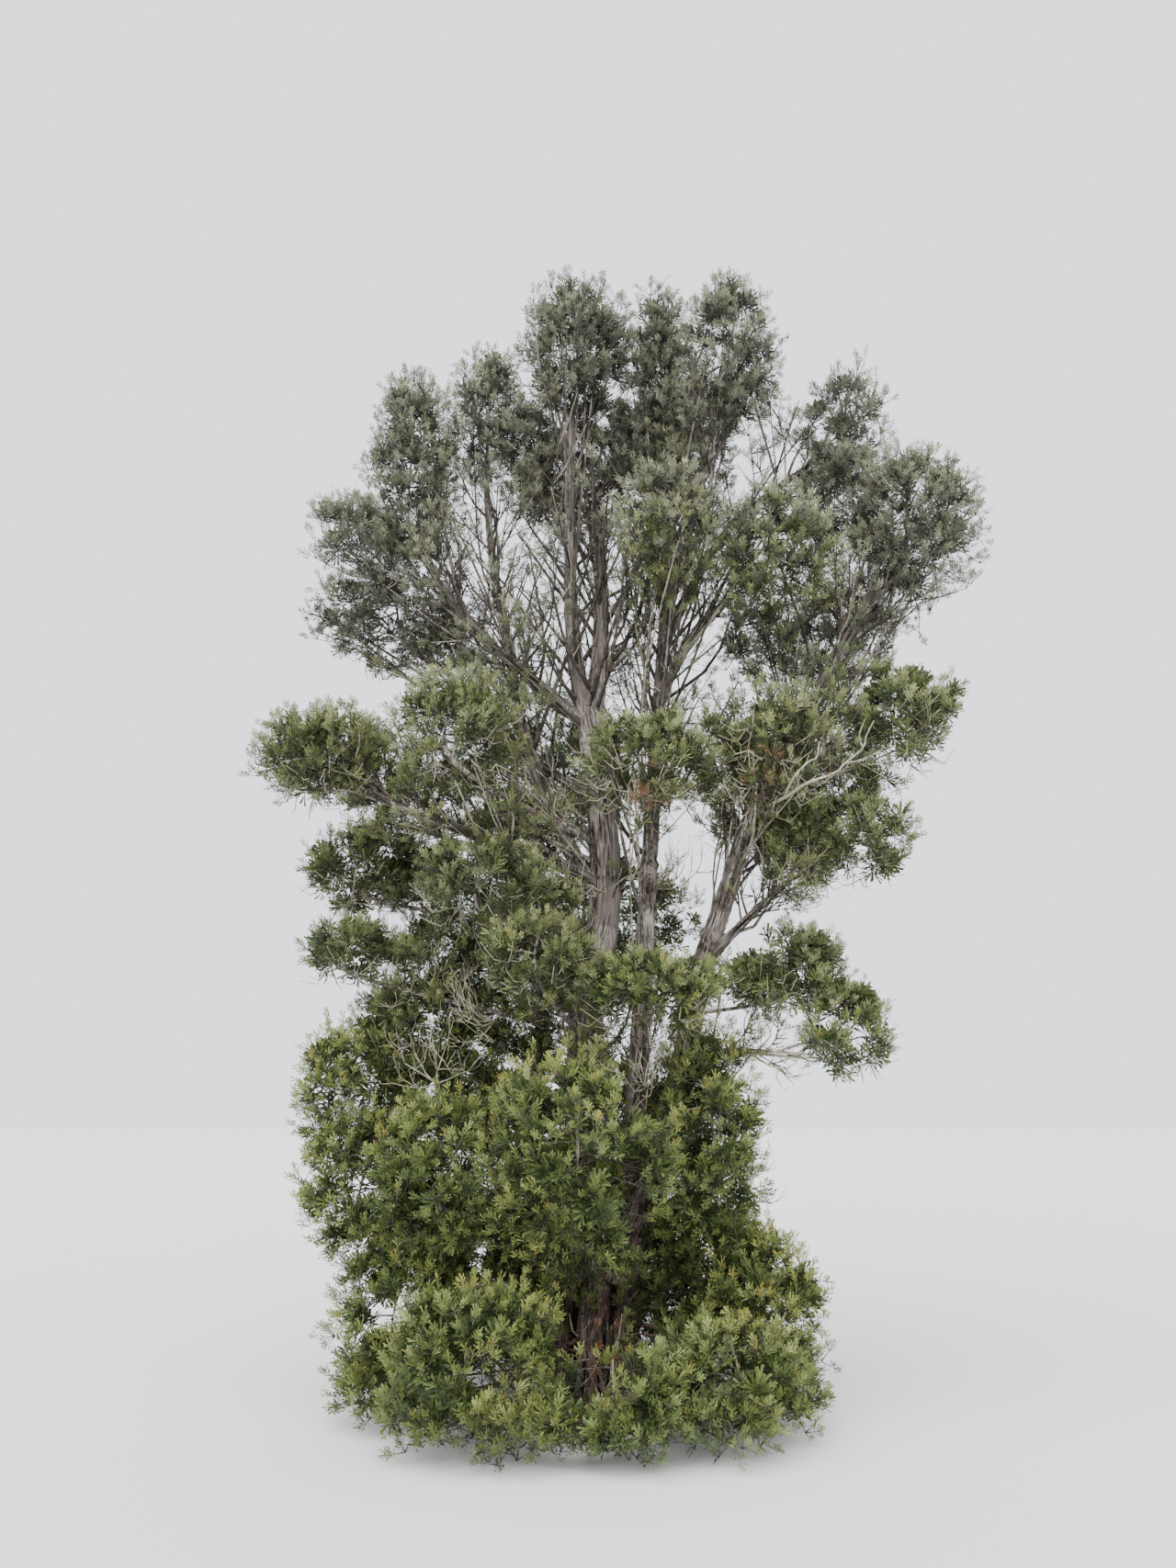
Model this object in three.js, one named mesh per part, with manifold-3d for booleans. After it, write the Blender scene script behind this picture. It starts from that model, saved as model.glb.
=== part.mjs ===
// Incense cedar: one whole planted tree, about 6.9 m tall, in millimetres, +Z up.
// The origin is the middle of the flat cut under the trunk, at ground level. +X is to the right as seen
// from the front, and the front faces -Y. A short fluted trunk forks near the ground into three stems. Boughs
// leave the stems, and each mass of foliage is one stem with side twigs and sprays fused on.
import * as THREE from 'three';
import { mergeVertices } from 'three/addons/utils/BufferGeometryUtils.js';
import Module from 'manifold-3d';

const wasm = await Module();
wasm.setup();

// Clearances
const SEAT_GAP = 0.3; // a limb or a mass's stem stands this far off what carries it
const CORE_GAP = 4; // a mass's core stands this far off everything else
const FREE_GAP = 1; // a twig or spray nearer than this to anything else is left out
const GROUND_GAP = 20; // cores and sprays stay this far above the ground

// Trunk
const TRUNK_HEIGHT = 640;
const TRUNK_EXTRA = 40; // begun this far under the ground, and cut flat at it
const TRUNK_RADIUS = 192;
const FLARE_RADIUS = 95; // what the root flare adds at the ground
const FLARE_HEIGHT = 190; // the flare falls to a third over this height
const FLUTES = 7;
const FLUTE_DEPTH = 0.11; // share of the radius at the ground
const TRUNK_LEAN = [12, 12];
const TRUNK_SIDES = 21;
const TRUNK_STEPS = 5;

// Limbs
const STEM_SIDES = 8;
const BOUGH_SIDES = 6;
const STEM_COLLAR = 0.12; // how much thicker a limb is at its foot than its taper alone, as a share
const BOUGH_COLLAR = 0.35;

// A mass's own stem
const TWIG_STEM_SIDES = 5;
const TWIG_STEM_STEPS = 4;
const THICKEST_TWIG_STEM = 26;
const TWIG_STEM_SHARE = 0.3; // of the radius of the limb that it leaves
const TIP_STEM_SHARE = 0.9; // of the bough's tip, where the stem goes on from one
const TIP_STEM_INSIDE = 12; // how far inside the bough's tip the stem is begun before it is cut clear
const TWIG_STEM_TAPER = 0.62; // share of the radius lost by its tip
const HEART = -0.35; // the stem passes through this height of the space, from -1 to 1
const STEM_TOP = 0.62; // and ends at this one

// Foliage
const GOLDEN_ANGLE = Math.PI * (3 - Math.sqrt(5));
const DOME = 0.14; // a mass's space is this share wider at its top than at its middle
const CORE_SHARE = 0.76; // a dense mass's core, as a share of its space
const CORE_LUMPS = 0.25; // the core's skin rises and falls by this share
const SPRAY_WIDTH = 0.7; // share of the spray's length
const SPRAY_THICKNESS = 0.035;
const SPRAY_WIDEST = 0.6; // where along the spray it is widest
const SPRAY_LENGTH = 0.85; // share of the mass's mean half size, and what it may add to that
const SPRAY_VARIES = 0.3;
const SHORTEST_SPRAY = 0.4; // a spray that its space cuts shorter than this share is left out
const TWIG_RADIUS = 9;
const TWIG_TAPER = 0.4; // share of the radius lost by its tip
const TWIG_SHARE = 0.5; // an open mass's twig ends this far from the heart to the skin
const TWIG_SAG = 0.06; // share of a twig's length
const LAST_TWIG = 0.93; // the highest twig leaves the stem at this share of its curve
const FEWEST_SPRAYS = 5; // on a dense mass, which carries one more for each such step of its mean half size
const SPRAY_STEP = 85;
const TWIGS_OPEN = 4;
const SPRAY_ROOT = 0.4; // a dense mass's spray is rooted this far out from the centre
const SPRAY_SLANT = 0.42; // and this far from the line to its tip, as a share of the mean half size
const LOWEST_TIP = -0.86; // height of the lowest shoot's tip in the space, from -1 to 1
const HIGHEST_TIP = 0.99;
const SKIN_SHARE = 0.98; // a shoot's tip is this share of the way from the centre to the skin
const REACH_STEP = 10;
const SMALLEST_DETAIL = 0.05;

// Where an open mass's twigs carry their sprays, and to which side of the twig each one leans.
const SPRAY_PLACES = [{ at: 0.97, side: 0 }, { at: 0.74, side: 1 }, { at: 0.58, side: -1 }];

const BARK = { color: 0x6b5546, roughness: 0.92 };
const PALE_BARK = { color: 0x857a6c, roughness: 0.9 };
const LOW_GREEN = { color: 0x66722f, roughness: 0.8 };
const SHADE_GREEN = { color: 0x46552f, roughness: 0.8 };
const HIGH_GREEN = { color: 0x5c6546, roughness: 0.8 };

// Stems: the points that the axis passes through, and the radius at the foot and the tip.
const STEMS = [
  { name: 'stem_left', radii: [112, 78], finish: BARK,
    axis: [[-84, 8, 590], [-82, 12, 850], [-70, 10, 1150], [-50, 25, 1970], [60, 35, 2660], [35, 35, 3330],
      [-30, 30, 3820]] },
  { name: 'stem_middle', radii: [80, 24], finish: BARK,
    axis: [[68, 100, 590], [135, 110, 820], [195, 115, 1100], [235, 115, 1520], [320, 95, 2770],
      [395, 80, 3800], [450, 60, 4590], [490, 60, 5500]] },
  { name: 'stem_right', radii: [92, 30], finish: BARK,
    axis: [[112, -68, 590], [190, -64, 800], [310, -52, 1060], [450, -40, 1520], [610, -20, 2230],
      [775, 0, 2700], [940, 0, 3160], [1350, 10, 3920], [1760, 0, 4600]] },
  { name: 'stem_left_west', radii: [56, 22], finish: BARK,
    axis: [[-40, 35, 3700], [-130, 50, 4300], [-155, 20, 5000], [-150, -40, 5880]] },
  { name: 'stem_left_east', radii: [60, 24], finish: BARK,
    axis: [[-15, 25, 3700], [40, 40, 4300], [40, 150, 4900], [0, 300, 5350]] },
  { name: 'stem_far_left', radii: [48, 18], finish: PALE_BARK,
    axis: [[50, 35, 2640], [-250, 20, 3180], [-470, 50, 3820], [-530, 120, 4260], [-670, 220, 4940],
      [-750, 390, 5780]] },
];

// Boughs: the stem that carries each, the height at which it leaves, and the points it then passes through.
// Their bark is the pale one.
const BOUGHS = [
  { name: 'bough_low_right', from: 'stem_right', leaves: 1700, radii: [24, 13],
    through: [[720, -160, 1790], [1160, -300, 1760]] },
  { name: 'bough_right_elbow', from: 'stem_right', leaves: 2280, radii: [30, 15],
    through: [[880, -130, 2540], [1120, -170, 2750]] },
  { name: 'bough_right_pale', from: 'stem_right', leaves: 3230, radii: [28, 14],
    through: [[1250, -190, 3420], [1480, -270, 3600]] },
  { name: 'bough_far_left', from: 'stem_left', leaves: 2750, radii: [34, 16],
    through: [[-500, -190, 2960], [-950, -280, 3080], [-1280, -300, 3250]] },
  { name: 'bough_left_high', from: 'stem_left', leaves: 3720, radii: [36, 18],
    through: [[-430, -60, 4060], [-790, -50, 4390], [-1080, 60, 4850]] },
  { name: 'bough_left_back', from: 'stem_left', leaves: 3250, radii: [32, 16],
    through: [[-480, 200, 3660], [-920, 300, 4180]] },
  { name: 'bough_right_sky', from: 'stem_middle', leaves: 4300, radii: [28, 14],
    through: [[790, 40, 4980], [1150, 120, 5380], [1500, 250, 5700]] },
  { name: 'bough_right_high', from: 'stem_middle', leaves: 3950, radii: [30, 16],
    through: [[620, -130, 4300], [800, -280, 4450]] },
];

// Masses: what carries each and at what height its stem leaves (at the carrier's tip where none is given),
// the centre of its space and its half sizes. An open mass is twigs and sprays alone, with no core.
const MASSES = [
  { name: 'skirt_left', on: 'trunk', leaves: 400, centre: [-960, -350, 490], half: [440, 410, 470] },
  { name: 'skirt_front_left', on: 'trunk', leaves: 350, centre: [-560, -920, 400], half: [440, 420, 380] },
  { name: 'skirt_front', on: 'trunk', leaves: 230, centre: [70, -1050, 270], half: [410, 330, 250] },
  { name: 'skirt_front_right', on: 'trunk', leaves: 300, centre: [620, -850, 310], half: [390, 370, 290] },
  { name: 'skirt_right', on: 'trunk', leaves: 430, centre: [850, -290, 500], half: [370, 420, 480] },
  { name: 'skirt_back_right', on: 'trunk', leaves: 500, centre: [580, 640, 520], half: [560, 500, 500] },
  { name: 'skirt_back_left', on: 'trunk', leaves: 550, centre: [-600, 620, 560], half: [590, 500, 540] },

  { name: 'spire_left', on: 'stem_left', leaves: 1200, centre: [-1440, -200, 1570], half: [210, 230, 450] },
  { name: 'shoulder_left', on: 'stem_left', leaves: 800, centre: [-1170, -240, 1080],
    half: [460, 430, 470] },
  { name: 'shoulder_front_left', on: 'stem_left', leaves: 900, centre: [-760, -580, 1160],
    half: [410, 370, 480] },
  { name: 'dome_front', on: 'stem_left', leaves: 1050, centre: [-90, -740, 1240], half: [550, 410, 620] },
  { name: 'shoulder_right', on: 'stem_right', leaves: 950, centre: [600, -330, 1310],
    half: [340, 340, 700] },
  { name: 'shoulder_back', on: 'stem_middle', leaves: 950, centre: [-60, 700, 1430], half: [700, 460, 620] },

  { name: 'lobe_front', on: 'stem_left', leaves: 1850, centre: [-300, -640, 2240], half: [350, 320, 280] },
  { name: 'lobe_front_right', on: 'stem_middle', leaves: 1700, centre: [290, -600, 2050],
    half: [470, 330, 290] },
  { name: 'lobe_left_low', on: 'stem_left', leaves: 1500, centre: [-1000, 50, 1880], half: [460, 430, 410] },
  { name: 'lobe_left_shelf', on: 'stem_left', leaves: 1900, centre: [-1360, -250, 2300],
    half: [320, 310, 250] },
  { name: 'lobe_left_front', on: 'stem_left', leaves: 2250, centre: [-610, -480, 2620],
    half: [440, 360, 350] },
  { name: 'lobe_left_hanging', on: 'stem_left', leaves: 2480, centre: [-1370, 150, 2830],
    half: [450, 390, 360] },
  { name: 'lobe_right_low', on: 'stem_right', leaves: 2000, centre: [1040, -250, 2210],
    half: [440, 350, 330] },
  { name: 'lobe_right_tip', on: 'bough_low_right', centre: [1370, -350, 1870], half: [280, 280, 340] },
  { name: 'lobe_right_shelf', on: 'bough_right_elbow', centre: [1440, -170, 2950], half: [500, 400, 360] },
  { name: 'lobe_back', on: 'stem_left', leaves: 2300, centre: [-60, 880, 2620], half: [900, 520, 550] },

  { name: 'lobe_far_left', on: 'bough_far_left', centre: [-1570, -300, 3430], half: [440, 400, 360] },
  { name: 'dome_left', on: 'stem_left', leaves: 2980, centre: [-770, -620, 3480], half: [400, 370, 450] },
  { name: 'lobe_middle', on: 'stem_middle', leaves: 3080, centre: [250, -520, 3370],
    half: [420, 300, 400], open: true },
  { name: 'lobe_right_inner', on: 'stem_right', leaves: 2950, centre: [1000, -450, 3460],
    half: [400, 340, 440] },
  { name: 'fan_right', on: 'bough_right_pale', centre: [1830, -270, 3690],
    half: [480, 410, 450], open: true },
  { name: 'crown_back_low', on: 'stem_left', leaves: 3050, centre: [-300, 930, 3570],
    half: [700, 500, 520] },
  { name: 'crown_back_right', on: 'stem_right', leaves: 2900, centre: [1090, 650, 3450],
    half: [550, 470, 470] },
  { name: 'crown_left_shade', on: 'bough_left_back', centre: [-1330, 360, 4550], half: [620, 470, 430] },

  { name: 'sprays_left', on: 'bough_left_high', leaves: 4600, centre: [-1560, -150, 4970],
    half: [260, 240, 300] },
  { name: 'plume_left', on: 'bough_left_high', centre: [-1210, 150, 5530], half: [370, 360, 870] },
  { name: 'plume_inner_left', on: 'stem_far_left', centre: [-730, 450, 6160], half: [330, 350, 590] },
  { name: 'crown_top_left', on: 'stem_left_west', centre: [-100, -80, 6300], half: [430, 420, 600] },
  { name: 'crown_top_low', on: 'stem_left_east', centre: [-160, 560, 5700], half: [500, 470, 570] },
  { name: 'plume_middle', on: 'stem_middle', centre: [450, 120, 6160], half: [260, 350, 850] },
  { name: 'plume_right_top', on: 'stem_middle', leaves: 5080, centre: [860, -280, 6130],
    half: [350, 360, 620] },
  { name: 'crown_back_high', on: 'stem_middle', leaves: 4850, centre: [620, 760, 6130],
    half: [500, 460, 520] },
  { name: 'lobe_front_high', on: 'stem_middle', leaves: 4180, centre: [440, -570, 4810],
    half: [350, 350, 430] },
  { name: 'lobe_right_high', on: 'bough_right_high', centre: [1060, -450, 4660], half: [420, 390, 480] },
  { name: 'plume_right_sky', on: 'bough_right_sky', centre: [1730, 350, 5960],
    half: [350, 360, 650], lean: [0.15, 0] },
  { name: 'crown_right', on: 'stem_right', centre: [2020, -60, 5040], half: [470, 440, 600] },
  { name: 'crown_right_low', on: 'stem_right', leaves: 3900, centre: [1640, 420, 4500],
    half: [440, 400, 410] },
];

// A repeatable stream of numbers from 0 to 1.
function seededRandom(seed) {
  let state = seed >>> 0;
  return () => {
    state = (state + 0x6d2b79f5) >>> 0;
    let mixed = Math.imul(state ^ (state >>> 15), state | 1);
    mixed ^= mixed + Math.imul(mixed ^ (mixed >>> 7), mixed | 61);
    return ((mixed ^ (mixed >>> 14)) >>> 0) / 4294967296;
  };
}

const UP = new THREE.Vector3(0, 0, 1);

const vector = (point) => new THREE.Vector3(...point);

const curveThrough = (points) => new THREE.CatmullRomCurve3(points, false, 'catmullrom', 0.5);

// A closed three.js geometry as a solid that can be cut and joined.
function solidOf(geometry) {
  const bare = new THREE.BufferGeometry().setAttribute('position', geometry.getAttribute('position'));
  if (geometry.index) bare.setIndex(geometry.index);
  const merged = mergeVertices(bare, 1e-3);
  return new wasm.Manifold(new wasm.Mesh({
    numProp: 3,
    vertProperties: merged.getAttribute('position').array,
    triVerts: new Uint32Array(merged.index.array),
  }));
}

// A cylinder bent along a curve. radiusAt gives the radius at a share of the curve and an angle round it.
// `grow` is added to that and to both ends.
function bentCylinder(curve, radiusAt, sides, steps, grow = 0) {
  const cylinder = new THREE.CylinderGeometry(1, 1, 1, sides, steps);
  const rings = [];
  let across = null;
  for (let step = 0; step <= steps; step++) {
    const share = step / steps;
    const along = curve.getTangent(share);
    if (!across) across = Math.abs(along.x) < 0.8 ? new THREE.Vector3(1, 0, 0) : new THREE.Vector3(0, 1, 0);
    across = across.clone().addScaledVector(along, -across.dot(along)).normalize();
    const centre = curve.getPoint(share);
    if (step === 0) centre.addScaledVector(along, -grow);
    if (step === steps) centre.addScaledVector(along, grow);
    rings.push({ centre, across, third: across.clone().cross(along), share });
  }
  const position = cylinder.getAttribute('position');
  for (let i = 0; i < position.count; i++) {
    const ring = rings[Math.round((position.getY(i) + 0.5) * steps)];
    const [x, z] = [position.getX(i), position.getZ(i)];
    const reach = Math.hypot(x, z) * (radiusAt(ring.share, Math.atan2(z, x)) + grow);
    const angle = Math.atan2(z, x);
    const point = ring.centre.clone()
      .addScaledVector(ring.across, reach * Math.cos(angle))
      .addScaledVector(ring.third, reach * Math.sin(angle));
    position.setXYZ(i, point.x, point.y, point.z);
  }
  return cylinder;
}

// The share of a rising curve at which it reaches a height.
function shareAtHeight(curve, height) {
  let [low, high] = [0, 1];
  for (let i = 0; i < 30; i++) {
    const middle = (low + high) / 2;
    if (curve.getPoint(middle).z < height) low = middle;
    else high = middle;
  }
  return (low + high) / 2;
}

// A limb as a solid, and the same a little larger to cut what comes near it.
function makeLimb({ name, curve, radiusAt, sides, steps, finish }) {
  const build = (grow) => solidOf(bentCylinder(curve, radiusAt, sides, steps, grow));
  return { name, curve, radiusAt, finish, solid: build(0), clearance: build(SEAT_GAP) };
}

// A radius that falls evenly from foot to tip, with a collar where the limb leaves its parent.
function taperOf([foot, tip], collar) {
  return (share) => (foot + (tip - foot) * share) * (1 + collar * Math.exp(-9 * share));
}

function makeTrunk() {
  const top = vector([...TRUNK_LEAN, TRUNK_HEIGHT]);
  const curve = curveThrough([vector([0, 0, -TRUNK_EXTRA]), vector([0, 0, TRUNK_HEIGHT / 2]), top]);
  const radiusAt = (share, angle) => {
    const height = share * (TRUNK_HEIGHT + TRUNK_EXTRA) - TRUNK_EXTRA;
    const flare = Math.exp(-height / FLARE_HEIGHT);
    const flute = 1 + FLUTE_DEPTH * (0.35 + flare) * Math.cos(FLUTES * angle + 0.6 * Math.sin(2 * angle));
    return (TRUNK_RADIUS + FLARE_RADIUS * flare) * flute;
  };
  const shape = { sides: TRUNK_SIDES, steps: TRUNK_STEPS };
  const trunk = makeLimb({ name: 'trunk', curve, radiusAt, ...shape, finish: BARK });
  trunk.solid = trunk.solid.trimByPlane([0, 0, 1], 0);
  return trunk;
}

const largestPiece = (solid) => solid.decompose().sort((a, b) => b.volume() - a.volume())[0];

function boxesMeet(a, b, gap) {
  const [first, second] = [a.boundingBox(), b.boundingBox()];
  return [0, 1, 2].every((k) => first.min[k] - gap < second.max[k] && second.min[k] - gap < first.max[k]);
}

const touches = (a, b, gap) => boxesMeet(a, b, gap) && a.minGap(b, gap) < gap;

// Cuts a solid back so that it stands clear of every limb given.
function cutClear(solid, limbs) {
  let left = solid;
  for (const limb of limbs) if (boxesMeet(left, limb.clearance, 0)) left = left.subtract(limb.clearance);
  return largestPiece(left);
}

function makeLimbs() {
  const limbs = new Map([['trunk', makeTrunk()]]);
  const add = (limb) => {
    limb.solid = cutClear(limb.solid, [...limbs.values()]);
    limbs.set(limb.name, limb);
  };
  for (const { name, radii, axis, finish } of STEMS) {
    const radiusAt = taperOf(radii, STEM_COLLAR);
    const curve = curveThrough(axis.map(vector));
    add(makeLimb({ name, curve, radiusAt, sides: STEM_SIDES, steps: 2 * axis.length, finish }));
  }
  for (const { name, from, leaves, radii, through } of BOUGHS) {
    const parent = limbs.get(from).curve;
    const radiusAt = taperOf(radii, BOUGH_COLLAR);
    const curve = curveThrough([parent.getPoint(shareAtHeight(parent, leaves)), ...through.map(vector)]);
    const steps = 2 * through.length + 1;
    add(makeLimb({ name, curve, radiusAt, sides: BOUGH_SIDES, steps, finish: PALE_BARK }));
  }
  return limbs;
}

// A point in a mass's space, from a point in a ball of radius 1. The space is wider above than below.
function inSpace(mass, point) {
  const [leanX, leanY] = mass.lean ?? [0, 0];
  const rise = point.z * mass.half[2];
  const spread = 1 + DOME * point.z;
  return new THREE.Vector3(
    mass.centre[0] + point.x * mass.half[0] * spread + leanX * rise,
    mass.centre[1] + point.y * mass.half[1] * spread + leanY * rise,
    mass.centre[2] + rise,
  );
}

// A mass's stem: from the axis of the limb that carries it, or on from a limb's tip, through the heart of
// the mass's space. `heartAt` is the share of its curve at which it is there.
function stemOf(mass, limbs) {
  const carrier = limbs.get(mass.on);
  const share = mass.leaves ? shareAtHeight(carrier.curve, mass.leaves) : 1;
  const foot = carrier.curve.getPoint(share);
  const heart = inSpace(mass, new THREE.Vector3(0, 0, HEART));
  const points = [foot, heart, inSpace(mass, new THREE.Vector3(0, 0, STEM_TOP))];
  let radius = Math.min(THICKEST_TWIG_STEM, TWIG_STEM_SHARE * carrier.radiusAt(share, 0));
  if (!mass.leaves) {
    const onwards = carrier.curve.getTangent(1);
    const straightOn = foot.clone().addScaledVector(onwards, 0.7 * foot.distanceTo(heart));
    heart.lerp(straightOn, 0.45);
    points.unshift(foot.clone().addScaledVector(onwards, -TIP_STEM_INSIDE));
    radius = TIP_STEM_SHARE * carrier.radiusAt(1);
  }
  const curve = curveThrough(points);
  const radiusAt = (at) => radius * (1 - TWIG_STEM_TAPER * at);
  const build = (grow) => solidOf(bentCylinder(curve, radiusAt, TWIG_STEM_SIDES, TWIG_STEM_STEPS, grow));
  const heartAt = (points.length - 2) / (points.length - 1);
  return { curve, heartAt, solid: cutClear(build(0), [...limbs.values()]), clearance: build(CORE_GAP) };
}

// A point of a mass's stem, on the straight runs between the rings of its solid.
function stemPoint(stem, share) {
  const before = Math.min(Math.floor(share * TWIG_STEM_STEPS), TWIG_STEM_STEPS - 1);
  const [low, high] = [before, before + 1].map((ring) => stem.curve.getPoint(ring / TWIG_STEM_STEPS));
  return low.lerp(high, share * TWIG_STEM_STEPS - before);
}

// How far a ray runs before it leaves the mass's space, or comes near the ground.
function reachInSpace(mass, start, towards) {
  const [leanX, leanY] = mass.lean ?? [0, 0];
  let reach = 0;
  for (;;) {
    const point = start.clone().addScaledVector(towards, reach + REACH_STEP);
    const rise = point.z - mass.centre[2];
    const height = rise / mass.half[2];
    const spread = 1 + DOME * height;
    const x = (point.x - mass.centre[0] - leanX * rise) / (mass.half[0] * spread);
    const y = (point.y - mass.centre[1] - leanY * rise) / (mass.half[1] * spread);
    if (x * x + y * y + height * height > 1 || point.z < GROUND_GAP) return reach;
    reach += REACH_STEP;
  }
}

// A flat spray of needles: a thin blade with eight faces, pointing along `towards` and facing `out`.
function makeSpray(root, towards, out, length) {
  const blade = new THREE.OctahedronGeometry(1);
  const across = towards.clone().cross(out).normalize();
  const facing = across.clone().cross(towards).normalize();
  const position = blade.getAttribute('position');
  for (let i = 0; i < position.count; i++) {
    const [x, y, z] = [position.getX(i), position.getY(i), position.getZ(i)];
    const along = y > 0.5 ? 1 : y < -0.5 ? 0 : SPRAY_WIDEST;
    const point = root.clone()
      .addScaledVector(towards, along * length)
      .addScaledVector(across, x * length * SPRAY_WIDTH / 2)
      .addScaledVector(facing, z * length * SPRAY_THICKNESS / 2);
    position.setXYZ(i, point.x, point.y, point.z);
  }
  return solidOf(blade);
}

// The point of a ball of radius 1 at a height from -1 to 1 and a bearing.
function skinDirection(height, bearing) {
  const round = Math.sqrt(1 - height * height);
  return new THREE.Vector3(round * Math.cos(bearing), round * Math.sin(bearing), height);
}

// The dense middle of a mass: a lumpy ball in a share of its space, and the same a little larger.
function makeCore(mass, random) {
  const lumps = new Map();
  const build = (grow) => {
    const ball = new THREE.IcosahedronGeometry(1, 0);
    const position = ball.getAttribute('position');
    for (let i = 0; i < position.count; i++) {
      const point = new THREE.Vector3().fromBufferAttribute(position, i);
      const key = point.toArray().map((value) => value.toFixed(3)).join();
      if (!lumps.has(key)) lumps.set(key, CORE_SHARE * (1 + CORE_LUMPS * (random() - 0.5)));
      const placed = inSpace(mass, point.clone().multiplyScalar(lumps.get(key)));
      placed.addScaledVector(point, grow);
      position.setXYZ(i, placed.x, placed.y, placed.z);
    }
    return solidOf(ball);
  };
  return { solid: build(0), clearance: build(CORE_GAP) };
}

// The side twig that leaves the stem for `end`. The higher its shoot's tip, -1 to 1, the higher its root.
function makeTwig(stem, height, end) {
  const root = stemPoint(stem, THREE.MathUtils.mapLinear(height, -1, 1, stem.heartAt, LAST_TWIG));
  const bend = root.clone().lerp(end, 0.5).addScaledVector(UP, -TWIG_SAG * root.distanceTo(end));
  const curve = curveThrough([root, bend, end]);
  return { curve, solid: solidOf(bentCylinder(curve, (at) => TWIG_RADIUS * (1 - TWIG_TAPER * at), 3, 2)) };
}

// The twig and sprays of an open mass: the first spray ends the twig, the others stand to its sides.
function openShoot(mass, stem, place, random) {
  const twig = makeTwig(stem, place.height, stemPoint(stem, stem.heartAt).lerp(place.skin, TWIG_SHARE));
  const length = place.size * (SPRAY_LENGTH + SPRAY_VARIES * random());
  const sprays = [];
  for (const { at, side } of SPRAY_PLACES) {
    const root = twig.curve.getPoint(at - 0.08 * random());
    const towards = place.outwards.clone()
      .multiplyScalar(side === 0 ? 0.9 : 0.55)
      .addScaledVector(place.sideways, side * (0.7 + 0.3 * random()))
      .addScaledVector(UP, 0.25 + 0.35 * random())
      .normalize();
    const facing = place.outwards.clone()
      .addScaledVector(place.sideways, 0.8 * (random() - 0.5))
      .addScaledVector(UP, 0.25);
    const reach = Math.min(length, reachInSpace(mass, root, towards));
    if (reach > SHORTEST_SPRAY * length) sprays.push(makeSpray(root, towards, facing, reach));
  }
  return { twig: twig.solid, sprays };
}

// The twig and spray of a dense mass: the spray slants out of the core and its tip is on the skin.
function denseShoot(mass, stem, place, random) {
  const slant = SPRAY_SLANT * place.size;
  const end = inSpace(mass, new THREE.Vector3())
    .lerp(place.skin, SPRAY_ROOT)
    .addScaledVector(place.sideways, slant * (2 * random() - 1))
    .addScaledVector(UP, -slant * (0.5 + place.outwards.z) * (0.5 + 0.5 * random()));
  const towards = place.skin.clone().sub(end);
  const spray = makeSpray(end, towards.clone().normalize(), place.outwards, towards.length());
  return { twig: makeTwig(stem, place.height, end).solid, sprays: [spray] };
}

// One mass: from low to high, shoots leave the stem for points on the skin at every golden angle. A twig or
// spray that would touch anything else is left out.
function growMass(mass, stem, core, obstacles, random) {
  const pieces = core ? [stem.solid, core.solid] : [stem.solid];
  const isFree = (solid) => !obstacles.some((other) => touches(solid, other, FREE_GAP));
  const size = Math.cbrt(mass.half[0] * mass.half[1] * mass.half[2]);
  const count = mass.open ? TWIGS_OPEN : Math.round(FEWEST_SPRAYS + size / SPRAY_STEP);
  const turn = random() * 2 * Math.PI;
  const makeShoot = mass.open ? openShoot : denseShoot;
  for (let index = 0; index < count; index++) {
    const height = LOWEST_TIP + (HIGHEST_TIP - LOWEST_TIP) * index / (count - 1);
    const ofBall = skinDirection(height, index * GOLDEN_ANGLE + turn);
    const skin = inSpace(mass, ofBall.multiplyScalar(SKIN_SHARE));
    if (skin.z < GROUND_GAP) continue;
    const outwards = skin.clone().sub(inSpace(mass, new THREE.Vector3())).normalize();
    const sideways = outwards.clone().cross(UP).normalize();
    const shoot = makeShoot(mass, stem, { height, skin, outwards, sideways, size }, random);
    const sprays = shoot.sprays.filter(isFree);
    if (isFree(shoot.twig) && sprays.length > 0) pieces.push(shoot.twig, ...sprays);
  }
  return largestPiece(wasm.Manifold.union(pieces)).simplify(SMALLEST_DETAIL);
}

function geometryOf(solid) {
  const mesh = solid.getMesh();
  const geometry = new THREE.BufferGeometry();
  geometry.setAttribute('position', new THREE.BufferAttribute(new Float32Array(mesh.vertProperties), 3));
  geometry.setIndex(new THREE.BufferAttribute(new Uint32Array(mesh.triVerts), 1));
  geometry.computeVertexNormals();
  return geometry;
}

function addNode(group, name, solid, finish) {
  const material = new THREE.MeshStandardMaterial({ ...finish, metalness: 0 });
  const mesh = new THREE.Mesh(geometryOf(solid), material);
  mesh.name = name;
  group.add(mesh);
}

function greenOf(mass) {
  if (mass.centre[1] > 250) return SHADE_GREEN;
  return mass.centre[2] < 2500 ? LOW_GREEN : HIGH_GREEN;
}

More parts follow.
